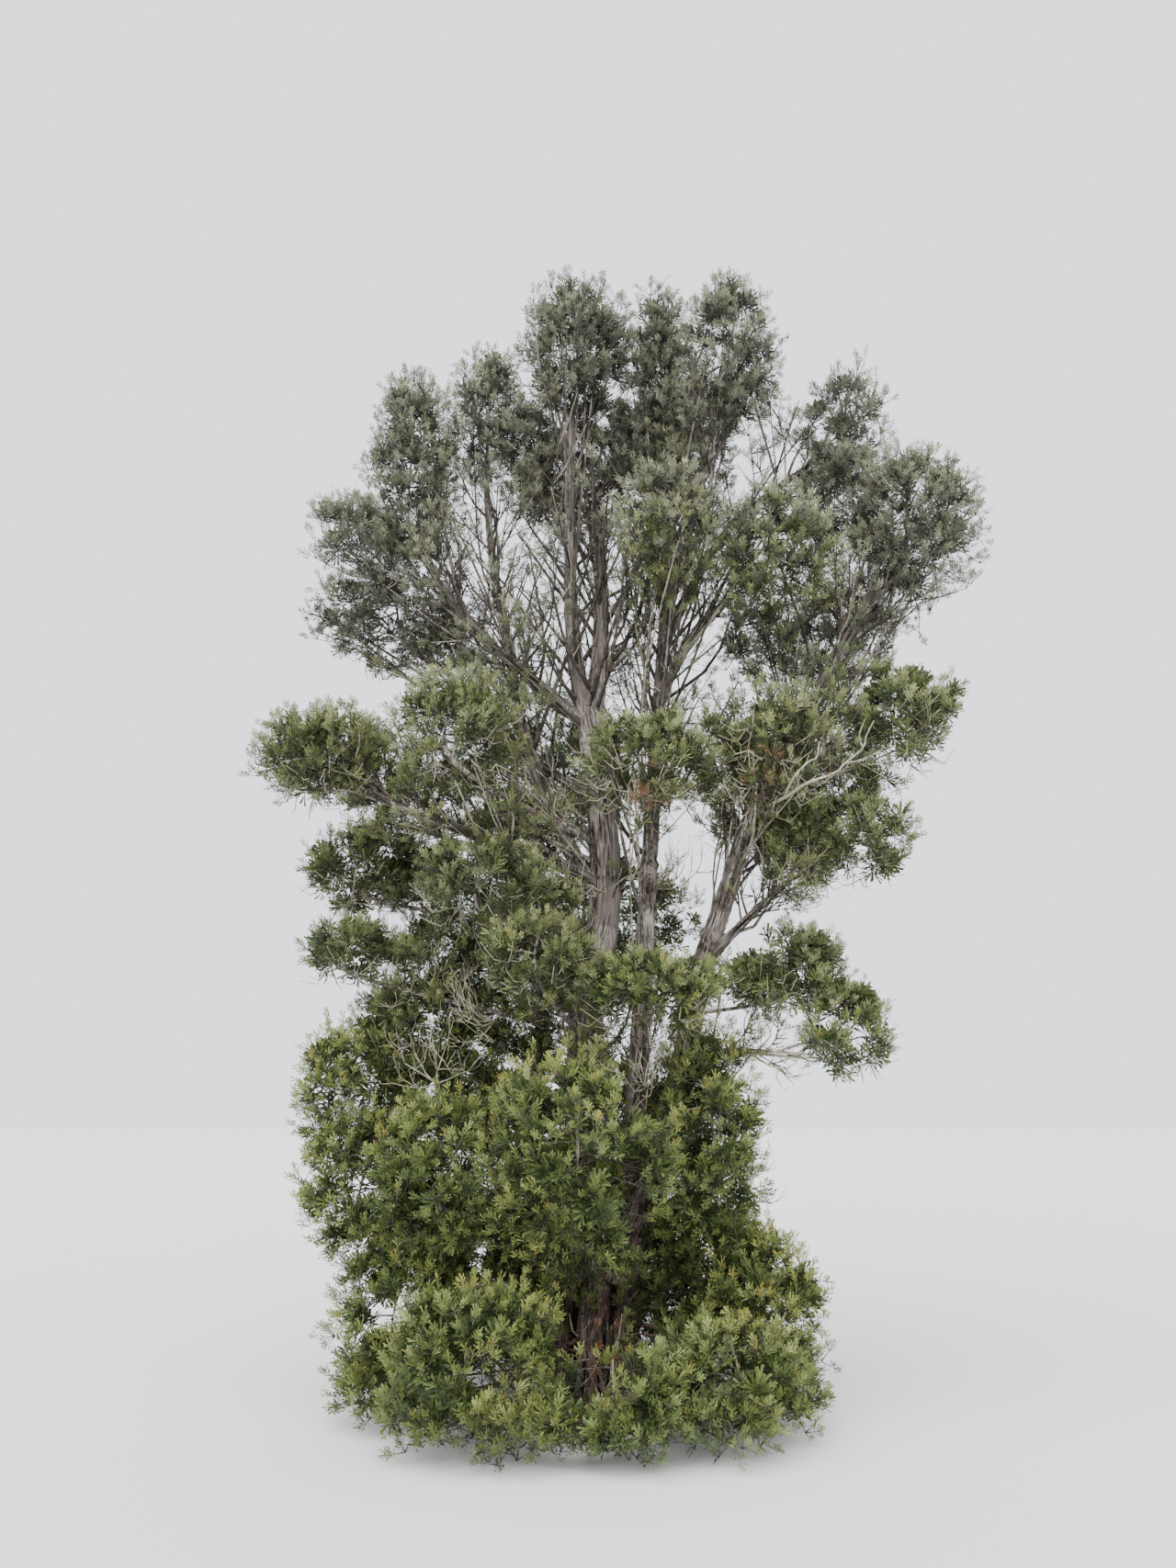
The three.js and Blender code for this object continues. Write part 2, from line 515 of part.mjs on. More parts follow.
function buildTree() {
  const group = new THREE.Group();
  const limbs = makeLimbs();
  for (const limb of limbs.values()) addNode(group, limb.name, limb.solid, limb.finish);
  const stems = MASSES.map((mass) => stemOf(mass, limbs));
  const streams = MASSES.map((_, index) => seededRandom(1000 + 77 * index));
  const cores = MASSES.map((mass, index) => (mass.open ? null : makeCore(mass, streams[index])));
  cores.forEach((core, index) => {
    if (!core) return;
    const before = cores.filter((other, place) => other && place < index);
    const others = stems.filter((_, place) => place !== index);
    const above = core.solid.trimByPlane([0, 0, 1], GROUND_GAP);
    core.solid = cutClear(above, [...limbs.values(), ...others, ...before]);
  });
  const grown = [];
  MASSES.forEach((mass, index) => {
    const notOwn = (part, place) => part && place !== index;
    const around = [...limbs.values(), ...stems.filter(notOwn), ...cores.filter(notOwn)];
    const obstacles = [...around.map((part) => part.solid), ...grown];
    grown.push(growMass(mass, stems[index], cores[index], obstacles, streams[index]));
    addNode(group, mass.name, grown[index], greenOf(mass));
  });
  return group;
}

export default buildTree();
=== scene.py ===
"""Incense cedar: the visual model of one whole planted tree, in metres, +Z up, seen from the front along +Y."""

import math
from types import SimpleNamespace

import bmesh
import bpy
import numpy as np
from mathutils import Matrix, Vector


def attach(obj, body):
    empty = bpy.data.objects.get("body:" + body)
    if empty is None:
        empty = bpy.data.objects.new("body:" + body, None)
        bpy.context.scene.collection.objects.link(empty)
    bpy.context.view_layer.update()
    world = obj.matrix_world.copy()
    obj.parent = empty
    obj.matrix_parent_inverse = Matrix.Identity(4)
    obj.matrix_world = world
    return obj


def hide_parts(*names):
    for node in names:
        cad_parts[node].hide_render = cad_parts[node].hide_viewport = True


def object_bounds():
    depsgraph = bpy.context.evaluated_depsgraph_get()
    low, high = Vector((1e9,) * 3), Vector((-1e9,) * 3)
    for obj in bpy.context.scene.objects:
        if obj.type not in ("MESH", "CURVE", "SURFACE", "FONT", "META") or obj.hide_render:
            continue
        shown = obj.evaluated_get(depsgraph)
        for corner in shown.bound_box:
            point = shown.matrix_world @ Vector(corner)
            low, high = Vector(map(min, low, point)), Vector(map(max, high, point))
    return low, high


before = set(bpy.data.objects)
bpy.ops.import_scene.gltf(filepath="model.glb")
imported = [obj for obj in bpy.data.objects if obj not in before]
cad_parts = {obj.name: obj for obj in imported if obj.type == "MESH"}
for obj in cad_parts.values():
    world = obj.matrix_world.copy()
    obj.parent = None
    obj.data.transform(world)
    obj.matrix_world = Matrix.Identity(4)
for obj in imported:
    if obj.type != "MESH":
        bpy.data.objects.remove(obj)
CAD_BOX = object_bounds()

# ---- sizes shared with the solids, in millimetres
TRUNK_HEIGHT = 640
TRUNK_RADIUS = 192
FLARE_RADIUS = 95
FLARE_HEIGHT = 190
FLUTES = 7
FLUTE_DEPTH = 0.11
TRUNK_LEAN = (12, 12)
STEM_COLLAR = 0.12
BOUGH_COLLAR = 0.35
THICKEST_TWIG_STEM = 26
TWIG_STEM_SHARE = 0.3
TIP_STEM_SHARE = 0.9
TWIG_STEM_TAPER = 0.62
HEART = -0.35
STEM_TOP = 0.62
LAST_TWIG = 0.93
LOWEST_TIP = -0.86
HIGHEST_TIP = 0.99
DOME = 0.14
GOLDEN_ANGLE = math.pi * (3 - math.sqrt(5))

# Each stem: radius at foot and tip, and the points of its axis.
STEMS = [
    ("stem_left", (112, 78), [
        (-84, 8, 590), (-82, 12, 850), (-70, 10, 1150), (-50, 25, 1970), (60, 35, 2660), (35, 35, 3330),
        (-30, 30, 3820)]),
    ("stem_middle", (80, 24), [
        (68, 100, 590), (135, 110, 820), (195, 115, 1100), (235, 115, 1520), (320, 95, 2770), (395, 80, 3800),
        (450, 60, 4590), (490, 60, 5500)]),
    ("stem_right", (92, 30), [
        (112, -68, 590), (190, -64, 800), (310, -52, 1060), (450, -40, 1520), (610, -20, 2230), (775, 0, 2700),
        (940, 0, 3160), (1350, 10, 3920), (1760, 0, 4600)]),
    ("stem_left_west", (56, 22), [(-40, 35, 3700), (-130, 50, 4300), (-155, 20, 5000), (-150, -40, 5880)]),
    ("stem_left_east", (60, 24), [(-15, 25, 3700), (40, 40, 4300), (40, 150, 4900), (0, 300, 5350)]),
    ("stem_far_left", (48, 18), [
        (50, 35, 2640), (-250, 20, 3180), (-470, 50, 3820), (-530, 120, 4260), (-670, 220, 4940),
        (-750, 390, 5780)]),
]
# Each bough: what carries it, the height at which it leaves, radii, and the points after its foot.
BOUGHS = [
    ("bough_low_right", "stem_right", 1700, (24, 13), [(720, -160, 1790), (1160, -300, 1760)]),
    ("bough_right_elbow", "stem_right", 2280, (30, 15), [(880, -130, 2540), (1120, -170, 2750)]),
    ("bough_right_pale", "stem_right", 3230, (28, 14), [(1250, -190, 3420), (1480, -270, 3600)]),
    ("bough_far_left", "stem_left", 2750, (34, 16), [(-500, -190, 2960), (-950, -280, 3080), (-1280, -300, 3250)]),
    ("bough_left_high", "stem_left", 3720, (36, 18), [(-430, -60, 4060), (-790, -50, 4390), (-1080, 60, 4850)]),
    ("bough_left_back", "stem_left", 3250, (32, 16), [(-480, 200, 3660), (-920, 300, 4180)]),
    ("bough_right_sky", "stem_middle", 4300, (28, 14), [(790, 40, 4980), (1150, 120, 5380), (1500, 250, 5700)]),
    ("bough_right_high", "stem_middle", 3950, (30, 16), [(620, -130, 4300), (800, -280, 4450)]),
]

# Masses: name, what carries it, height at which its stem leaves (or tip), centre and half sizes. Then, in the scene
# alone: how much brighter than its zone (partly painted light and shade: a lit mass brighter, a shaded one darker),
# how many times denser, and how many metres lower its colours are taken from.
MASSES = {
    "skirt": """
skirt_left trunk 400 -960 -350 490 440 410 470
skirt_front_left trunk 350 -560 -920 400 440 420 380 -0.02
skirt_front trunk 230 70 -1050 270 410 330 250 0.04
skirt_front_right trunk 300 620 -850 310 390 370 290 0.04
skirt_right trunk 430 850 -290 500 370 420 480 0.15
skirt_back_right trunk 500 580 640 520 560 500 500 0 1.15
skirt_back_left trunk 550 -600 620 560 590 500 540 0 1.15""",
    "shoulders": """
spire_left stem_left 1200 -1440 -200 1570 210 230 450 0.09 1.3 0.6
shoulder_left stem_left 800 -1170 -240 1080 460 430 470 0.03
shoulder_front_left stem_left 900 -760 -580 1160 410 370 480 -0.03
dome_front stem_left 1050 -90 -740 1240 550 410 620 0.05 1 0.4
shoulder_right stem_right 950 600 -330 1310 340 340 700 0.04
shoulder_back stem_middle 950 -60 700 1430 700 460 620""",
    "lobes": """
lobe_front stem_left 1850 -300 -640 2240 350 320 280 0.04 1.2
lobe_front_right stem_middle 1700 290 -600 2050 470 330 290 0.1 1.6 0.3
lobe_left_low stem_left 1500 -1000 50 1880 460 430 410 -0.13 1.2
lobe_left_shelf stem_left 1900 -1360 -250 2300 320 310 250 -0.04 1.2
lobe_left_front stem_left 2250 -610 -480 2620 440 360 350
lobe_left_hanging stem_left 2480 -1370 150 2830 450 390 360 -0.12 1.3
lobe_right_low stem_right 2000 1040 -250 2210 440 350 330 0.07 1.45
lobe_right_tip bough_low_right tip 1370 -350 1870 280 280 340 0.08 1.3
lobe_right_shelf bough_right_elbow tip 1440 -170 2950 500 400 360 0.07
lobe_back stem_left 2300 -60 880 2620 900 520 550""",
    "canopy": """
lobe_far_left bough_far_left tip -1570 -300 3430 440 400 360 -0.02 1.5
dome_left stem_left 2980 -770 -620 3480 400 370 450 0.09 1.2
lobe_middle stem_middle 3080 250 -520 3370 420 300 400 0.1 1.4
lobe_right_inner stem_right 2950 1000 -450 3460 400 340 440 0.1
fan_right bough_right_pale tip 1830 -270 3690 480 410 450 0.14 1 0.6
crown_back_low stem_left 3050 -300 930 3570 700 500 520
crown_back_right stem_right 2900 1090 650 3450 550 470 470
crown_left_shade bough_left_back tip -1330 360 4550 620 470 430 -0.16 1.4""",
    "crown_left": """
sprays_left bough_left_high 4600 -1560 -150 4970 260 240 300 0 1.2
plume_left bough_left_high tip -1210 150 5530 370 360 870 0 1.1
plume_inner_left stem_far_left tip -730 450 6160 330 350 590 0 1.3
crown_top_left stem_left_west tip -100 -80 6300 430 420 600 -0.03 1.2
crown_top_low stem_left_east tip -160 560 5700 500 470 570 -0.08 1.2""",
    "crown_right": """
plume_middle stem_middle tip 450 120 6160 260 350 850 -0.02 1.15
plume_right_top stem_middle 5080 860 -280 6130 350 360 620 0 1.3
crown_back_high stem_middle 4850 620 760 6130 500 460 520 -0.1 1.2
lobe_front_high stem_middle 4180 440 -570 4810 350 350 430 0.14 1 0.75
lobe_right_high bough_right_high tip 1060 -450 4660 420 390 480 0.06 1 0.75
plume_right_sky bough_right_sky tip 1730 350 5960 350 360 650 -0.08
crown_right stem_right tip 2020 -60 5040 470 440 600 0 1.3
crown_right_low stem_right 3900 1640 420 4500 440 400 410 -0.08""",
}
# Shaded sprays and a ragged hem, as rows of the same kind: they stand in the scene alone and close the gaps between
# the masses where no sky shows. The shade rows are made darker than their zone, as painted shade.
SHADED = {
    "skirt": """
hem_left trunk 200 -1030 -480 150 290 270 150
hem_front_left trunk 200 -760 -930 150 290 250 150
hem_front trunk 150 -330 -1110 140 270 190 140
hem_front_middle trunk 150 110 -1120 130 260 180 130
hem_front_right trunk 200 560 -1010 140 280 220 140
hem_right trunk 200 880 -600 150 280 270 150 0.06
hem_side_right trunk 200 960 -100 150 240 290 150 0.06
hem_side_left trunk 200 -1120 0 150 260 290 150
hem_back_right trunk 200 620 800 150 380 300 150
hem_back_left trunk 200 -620 800 150 400 300 150
shade_foot_left trunk 450 -560 -230 620 430 330 370 -0.2
shade_foot_right trunk 450 500 -120 680 370 330 430 -0.2""",
    "shoulders": """
shade_back trunk 520 20 560 560 360 330 480 -0.1
shade_side_right trunk 500 690 220 520 300 300 420 -0.1
veil_front stem_left 720 -20 -560 790 330 210 200
shade_low_left stem_left 1000 -850 60 1530 490 360 330 -0.2
shade_side_left stem_left 700 -960 -80 860 330 330 300 -0.15
shade_spire stem_left 1050 -1190 -80 1690 200 220 330 -0.12
shade_low_right stem_right 1200 560 120 1450 330 300 560 -0.2""",
    "lobes": """
shade_left stem_left 2000 -980 400 2420 430 330 310 -0.2
shade_left_inner stem_left 1650 -470 110 1990 400 290 420 -0.18 1.3
shade_left_upper stem_left 2500 -680 380 3000 430 330 340 -0.16
shade_middle stem_left 2650 -380 240 3080 270 240 300 -0.14
shade_left_shelf stem_left 1950 -850 20 2290 330 260 220 -0.15
veil_stem_left stem_left 2150 -210 -310 2480 190 170 320 -0.06""",
    "canopy": """
veil_middle stem_middle 2980 640 -430 3400 290 230 330 0.04
shade_right stem_right 3000 1260 250 3050 380 320 330 -0.12
shade_right_high stem_right 3000 1500 40 3330 420 300 260 -0.08
shade_far_left stem_left 2850 -1120 -60 3190 440 320 270 -0.12""",
    "crown_left": """
shade_top_left stem_left_west 5050 -480 230 5760 270 260 420 -0.1
shade_top_middle stem_left_west 5000 190 60 5640 230 260 380 -0.1
shade_fan_right stem_right 4300 1620 150 5330 370 330 470 -0.1""",
    "crown_right": """
shade_lobe_right stem_right 3750 1090 60 4260 330 300 320 -0.06""",
}
LEANING = {"plume_right_sky": (0.15, 0)}
OPEN_MASSES = {"lobe_middle", "fan_right"}

# ---- sizes of the visual model alone, in metres
CLUSTER_AREA = 0.036      # of a mass's skin that one cluster of sprigs covers
BEHIND = 0.68             # share of the clusters that a mass at the back has
BACK = 0.3                # the Y from which a mass is at the back, in metres
MAIN_TWIGS = 0.28         # main twigs for each cluster
SIDE_FORKS = 4            # on a side twig
CURLS = 4                 # on a bare twig under a dome
STRIPS_PER_METRE = 1800   # of bark, times the limb's radius in metres
STRIP_THICK = 0.0022
FURROW_DEPTH = 0.25       # of the trunk's radius
MAIN_RADIUS, CLUSTER_RADIUS, BARE_RADIUS, CURL_RADIUS, SPRIG_RADIUS = 0.0085, 0.0050, 0.0052, 0.0038, 0.0032
RINGS_MAIN, RINGS_CLUSTER, RINGS_CURL, RINGS_STRIP, RINGS_BRANCH = 6, 5, 3, 4, 16
MIDDLE_TONE = 0.46        # of a mass's leaves, from 0 for the darkest to 1
LAST_STEP = 200           # of the fine steps along a limb that strips of bark are placed by
LIMB_GAP = 0.012          # between a limb's bark and the middle of a sprig
STRAYS = 0.06             # share of the sprigs that stay in a clearing
OCHRE_SHARE = 0.15        # of the brightest fronds at the skirt and the shoulders
RUST_REACH = 0.15         # round a rust spot
SEAM = 0.05               # length over which a limb's bark smooths out towards its tip

TURN = 2 * math.pi
UP = np.array([0.0, 0.0, 1.0])
BOX_LOW, BOX_HIGH = np.array(CAD_BOX)
REACH_SPARE = 0.02 * (BOX_HIGH - BOX_LOW)
REACH_LOW = np.array([*(BOX_LOW - REACH_SPARE)[:2], 0.008])
REACH_HIGH = np.array([*(BOX_HIGH + REACH_SPARE)[:2], BOX_HIGH[2] + 0.05])

rng = np.random.default_rng(5594)
uniform, normal, integers = rng.uniform, rng.normal, rng.integers
norm = np.linalg.norm


def unit(vectors):
    return vectors / np.maximum(norm(vectors, axis=-1, keepdims=True), 1e-9)


def turned(across, third, angle):
    """Directions at the given angles round an axis, from two directions across it."""
    return np.cos(angle)[..., None] * across + np.sin(angle)[..., None] * third


def inside(points, low, high):
    return ((points > low) & (points < high)).all(axis=-1)


def in_reach(points):
    """Which points are over the ground and no further out than the solids' outermost tips."""
    return inside(points, REACH_LOW, REACH_HIGH)


def curve_at(points, share):
    """Points of Catmull-Rom curves. points is (..., N, 3) and share is (K,); the result is (..., K, 3)."""
    points = np.asarray(points, float)
    count = points.shape[-2]
    place = np.clip(np.atleast_1d(share), 0, 1) * (count - 1)
    start = np.minimum(place.astype(int), count - 2)
    part = (place - start)[:, None]
    before = 2 * points[..., :1, :] - points[..., 1:2, :]
    after = 2 * points[..., -1:, :] - points[..., -2:-1, :]
    padded = np.concatenate([before, points, after], axis=-2)
    p0, p1, p2, p3 = (padded[..., start + k, :] for k in range(4))
    m1, m2 = (p2 - p0) / 2, (p3 - p1) / 2
    return (((2 * p1 - 2 * p2 + m1 + m2) * part - 3 * p1 + 3 * p2 - 2 * m1 - m2) * part + m1) * part + p1


def share_at_height(points, height):
    shares = np.linspace(0, 1, 2001)
    return shares[np.argmin(np.abs(curve_at(points, shares)[:, 2] - height))]


def bowed(starts, ends, lift, rings, wobble):
    """Curves from starts to ends that rise by lift of their length at the middle, and wander a little."""
    run = norm(ends - starts, axis=-1, keepdims=True)
    middle = (starts + ends) / 2 + run * (lift * UP + wobble * normal(size=starts.shape))
    return curve_at(np.stack([starts, middle, ends], axis=-2), np.linspace(0, 1, rings))


def lattice_noise(points, seed):
    """Smooth noise from -1 to 1, one wave for each unit of length."""
    cell = np.floor(points).astype(np.int64)
    part = points - cell
    part = part * part * (3 - 2 * part)
    total = np.zeros(points.shape[:-1])
    for corner in range(8):
        step = np.array([corner & 1, corner >> 1 & 1, corner >> 2 & 1])
        mixed = np.bitwise_xor.reduce((cell + step) * (73856093, 19349663, 83492791), axis=-1) ^ (seed * 2654435)
        mixed = (mixed ^ (mixed >> 13)) * 1274126177 & 0xFFFFFFFF
        value = ((mixed ^ (mixed >> 16)) & 0xFFFF) / 32767.5 - 1
        total += value * np.prod(np.where(step, part, 1 - part), axis=-1)
    return total


class Limb:
    """A limb's axis in metres, with its radius at a share of the axis."""

    def __init__(self, name, points, radii, collar):
        self.name = name
        self.points = np.array(points, float) / 1000
        self.radii = np.array(radii) / 1000
        self.collar = collar

    def at(self, share):
        return curve_at(self.points, share)

    def radius(self, share, angle=0.0):
        foot, tip = self.radii
        return (foot + (tip - foot) * share) * (1 + self.collar * np.exp(-9 * share))

    def length(self):
        return norm(np.diff(self.at(np.linspace(0, 1, 200)), axis=0), axis=1).sum()

    def frames(self, steps):
        """Centres at the shares steps, with two directions across the axis that turn as little as they can."""
        centres = self.at(steps)
        along = unit(np.gradient(centres, axis=0))
        across = np.zeros_like(along)
        last = np.array([1.0, 0.0, 0.0]) if abs(along[0, 0]) < 0.8 else np.array([0.0, 1.0, 0.0])
        for k, ahead in enumerate(along):
            last = unit(last - ahead * last.dot(ahead))
            across[k] = last
        return centres, across, np.cross(across, along)


class Trunk(Limb):
    def radius(self, share, angle=0.0):
        flare = np.exp(-share * TRUNK_HEIGHT / FLARE_HEIGHT)
        flute = 1 + FLUTE_DEPTH * (0.35 + flare) * np.cos(FLUTES * angle + 0.6 * np.sin(2 * angle))
        merge = 1 - 0.3 * np.clip((share - 0.72) / 0.28, 0, 1) ** 2
        return (TRUNK_RADIUS + FLARE_RADIUS * flare) * flute * merge / 1000

    def strands(self, share, angle):
        """The deep furrows between the trunk's strands, from 0 on a strand's back to 1 at a furrow's bottom."""
        wander = angle + 0.22 * share + 0.10 * np.sin(5 * share + 3 * angle) + 0.06 * np.sin(9 * share)
        wide = np.clip(-np.cos(FLUTES * wander + 0.6 * np.sin(2 * wander)), 0, 1) ** 1.8
        narrow = np.clip(np.cos(17 * wander + 2 * np.sin(3 * angle)), 0, 1) ** 5
        return np.maximum(wide, 0.55 * narrow)


TRUNK_AXIS = [(0, 0, 0), (0, 0, TRUNK_HEIGHT / 2), (*TRUNK_LEAN, TRUNK_HEIGHT)]
LIMBS = {"trunk": Trunk("trunk", TRUNK_AXIS, (TRUNK_RADIUS, TRUNK_RADIUS), 0)}
for name, radii, points in STEMS:
    LIMBS[name] = Limb(name, points, radii, STEM_COLLAR)
for name, parent, leaves, radii, points in BOUGHS:
    foot = LIMBS[parent].at(share_at_height(LIMBS[parent].points, leaves / 1000))[0] * 1000
    LIMBS[name] = Limb(name, [foot, *points], radii, BOUGH_COLLAR)
STEPS = np.linspace(0, 1, 120)
LIMB_POINTS = np.concatenate([limb.at(STEPS) for limb in LIMBS.values()])
LIMB_RADII = np.concatenate([limb.radius(STEPS) for limb in LIMBS.values()])


def clear_of_limbs(points, block=4000):
    """Which points are neither in a limb nor close to one."""
    keep = np.ones(len(points), bool)
    for first in range(0, len(points), block):
        far = norm(points[first:first + block, None] - LIMB_POINTS, axis=-1) - LIMB_RADII
        keep[first:first + block] = far.min(axis=1) > LIMB_GAP
    return keep


# ---- meshes
class Heap:
    """Vertices and faces that are gathered, then made into one mesh."""

    def __init__(self):
        self.points, self.loops, self.sizes, self.slots, self.count = [], [], [], [], 0

    def add(self, points, faces, slots=0):
        """faces is a list of (F, n) arrays of indices into points; slots is a number or one array for each."""
        self.points.append(points)
        for place, block in enumerate(faces):
            self.loops.append(block.ravel() + self.count)
            self.sizes.append(np.full(len(block), block.shape[1]))
            slot = slots[place] if isinstance(slots, list) else slots
            self.slots.append(np.broadcast_to(slot, len(block)))
        self.count += len(points)

    def mesh(self, name, smooth):
        points, loops = np.concatenate(self.points), np.concatenate(self.loops)
        sizes, slots = np.concatenate(self.sizes), np.concatenate(self.slots)
        mesh = bpy.data.meshes.new(name)
        mesh.vertices.add(len(points))
        mesh.vertices.foreach_set("co", points.astype(np.float32).ravel())
        mesh.loops.add(len(loops))
        mesh.loops.foreach_set("vertex_index", loops.astype(np.int32))
        mesh.polygons.add(len(sizes))
        mesh.polygons.foreach_set("loop_start", (np.cumsum(sizes) - sizes).astype(np.int32))
        mesh.polygons.foreach_set("material_index", slots.astype(np.int32))
        mesh.polygons.foreach_set("use_smooth", np.full(len(sizes), smooth))
        mesh.update(calc_edges=True)
        return mesh

    def place(self, name, materials, slot, nodes=(), smooth=True, grain=True):
        """One piece. Strips and twigs are so thin that their own places serve as their bark's grain."""
        mesh = self.mesh(name, smooth)
        if grain:
            points = np.concatenate(self.points).astype(np.float32)
            mesh.attributes.new("grain", "FLOAT_VECTOR", "POINT").data.foreach_set("vector", points.ravel())
        place_piece(name, mesh, materials, nodes)


def link(name, data):
    thing = bpy.data.objects.new(name, data)
    bpy.context.scene.collection.objects.link(thing)
    return thing


def place_piece(name, mesh, materials, nodes=()):
    piece = link(name, mesh)
    for material in materials:
        mesh.materials.append(material)
    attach(piece, "root")
    if nodes:
        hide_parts(*nodes)


def side_axes(along, run):
    """Two directions across twigs that go along while they run from foot to tip as run says."""
    steep = np.abs(unit(run)[..., 2:3]) > 0.8
    across = unit(np.cross(along, np.where(steep, [1.0, 0.0, 0.0], UP)))
    return across, np.cross(along, across)


def tube_faces(count, rings, sides):
    """The sides, feet and tips of closed tubes whose points are listed ring by ring."""
    base = (np.arange(count) * rings * sides)[:, None, None]
    ring = base + (np.arange(rings - 1) * sides)[:, None]
    low, turn = ring + np.arange(sides), ring + (np.arange(sides) + 1) % sides
    quads = np.stack([low, turn, turn + sides, low + sides], axis=-1).reshape(-1, 4)
    return [quads, base[:, 0] + np.arange(sides)[::-1], base[:, 0] + (rings - 1) * sides + np.arange(sides)]


def add_tubes(heap, paths, foot, tip, sides, slots=0):
    """Closed tubes along paths (T, K, 3), with radii at the foot and how thin each is at its tip as a share of it."""
    count, rings = paths.shape[:2]
    radii = np.broadcast_to(foot * np.linspace(1, tip, rings), (count, rings))
    across, third = side_axes(unit(np.gradient(paths, axis=1)), paths[:, -1:] - paths[:, :1])
    around = turned(across[:, :, None], third[:, :, None], TURN * np.arange(sides) / sides)
    points = paths[:, :, None] + radii[:, :, None, None] * around
    slots = np.broadcast_to(slots, count)
    heap.add(points.reshape(-1, 3), tube_faces(count, rings, sides),
             [np.repeat(slots, (rings - 1) * sides), slots, slots])


def add_spikes(heap, roots, tips, radius, slots=0):
    """Closed three-sided twigs, each running out to a point."""
    count = len(roots)
    across, third = side_axes(unit(tips - roots), tips - roots)
    ring = roots[:, None] + radius * turned(across[:, None], third[:, None], TURN * np.arange(3) / 3)
    points = np.concatenate([ring, tips[:, None]], axis=1).reshape(-1, 3)
    faces = (4 * np.arange(count))[:, None, None] + np.array([[2, 1, 0], [0, 1, 3], [1, 2, 3], [2, 0, 3]])
    heap.add(points, [faces.reshape(-1, 3)], [np.repeat(np.broadcast_to(slots, count), 4)])


# ---- node-based materials
def linear(code):
    """A colour written as hexadecimal digits, as the linear red, green, blue and alpha that a shader takes."""
    parts = [int(code[k:k + 2], 16) / 255 for k in (0, 2, 4)]
    return (*[c / 12.92 if c <= 0.04045 else ((c + 0.055) / 1.055) ** 2.4 for c in parts], 1)


def operators(operation):
    """The plain and the reflected form of an operator that adds a Math node."""
    def plain(self, other):
        return self.graph.math(operation, self, other)

    def reflected(self, other):
        return self.graph.math(operation, other, self)

    return plain, reflected


class Wire:
    """The output of a shader node, with arithmetic that adds Math nodes."""

    def __init__(self, graph, socket):
        self.graph, self.socket = graph, socket

    __add__, __radd__ = operators("ADD")
    __sub__, __rsub__ = operators("SUBTRACT")
    __mul__, __rmul__ = operators("MULTIPLY")
    __truediv__, __rtruediv__ = operators("DIVIDE")
    __pow__, __rpow__ = operators("POWER")


class Graph:
    """One material's node tree."""

    def __init__(self, name):
        self.material = bpy.data.materials.new(name)
        self.material.use_nodes = True
        self.tree = self.material.node_tree
        self.tree.nodes.clear()

    def node(self, kind, settings=None, inputs=None, output=0):
        node = self.tree.nodes.new(kind)
        for key, value in (settings or {}).items():
            setattr(node, key, value)
        for key, value in (inputs or {}).items():
            if isinstance(value, Wire):
                self.tree.links.new(value.socket, node.inputs[key])
            else:
                node.inputs[key].default_value = value
        return Wire(self, node.outputs[output])

    def math(self, operation, first, second):
        return self.node("ShaderNodeMath", {"operation": operation}, {0: first, 1: second})

    def scaled(self, vector, scale):
        return self.node("ShaderNodeVectorMath", {"operation": "MULTIPLY"}, {0: vector, 1: scale})

    def noise(self, vector, scale, detail, roughness=0.55):
        return self.node("ShaderNodeTexNoise", None,
                         {"Vector": vector, "Scale": scale, "Detail": detail, "Roughness": roughness})

    def ramp(self, value, low, high):
        """0 where value is under low, 1 where it is over high."""
        return self.node("ShaderNodeMapRange", {"clamp": True},
                         {"Value": value, "From Min": low, "From Max": high, "To Min": 0.0, "To Max": 1.0})

    def blend(self, factor, first, second):
        return self.node("ShaderNodeMix", {"data_type": "RGBA"}, {0: factor, 6: first, 7: second}, output=2)

    def finish(self, shader):
        end = self.tree.nodes.new("ShaderNodeOutputMaterial")
        self.tree.links.new(shader.socket, end.inputs["Surface"])
        return self.material


def foliage_material(name, code):
    """Matt scale leaves: one plain colour that drifts a little from place to place, and lets some light through."""
    graph = Graph(name)
    place = graph.node("ShaderNodeTexCoord", output=3)
    drift, grain = graph.noise(place, 9.0, 2.0), graph.noise(place, 140.0, 1.0)
    dark, light = ((*[min(1, share * c) for c in linear(code)[:3]], 1) for share in (0.68, 1.3))
    colour = graph.blend(graph.ramp(0.7 * drift + 0.3 * grain, 0.3, 0.7), dark, light)
    surface = graph.node("ShaderNodeBsdfPrincipled", None,
                         {"Base Color": colour, "Roughness": 0.62, "Specular IOR Level": 0.3})
    through = graph.node("ShaderNodeBsdfTranslucent", None, {"Color": colour})
    return graph.finish(graph.node("ShaderNodeMixShader", None, {0: LEAF_GLOW, 1: surface, 2: through}))


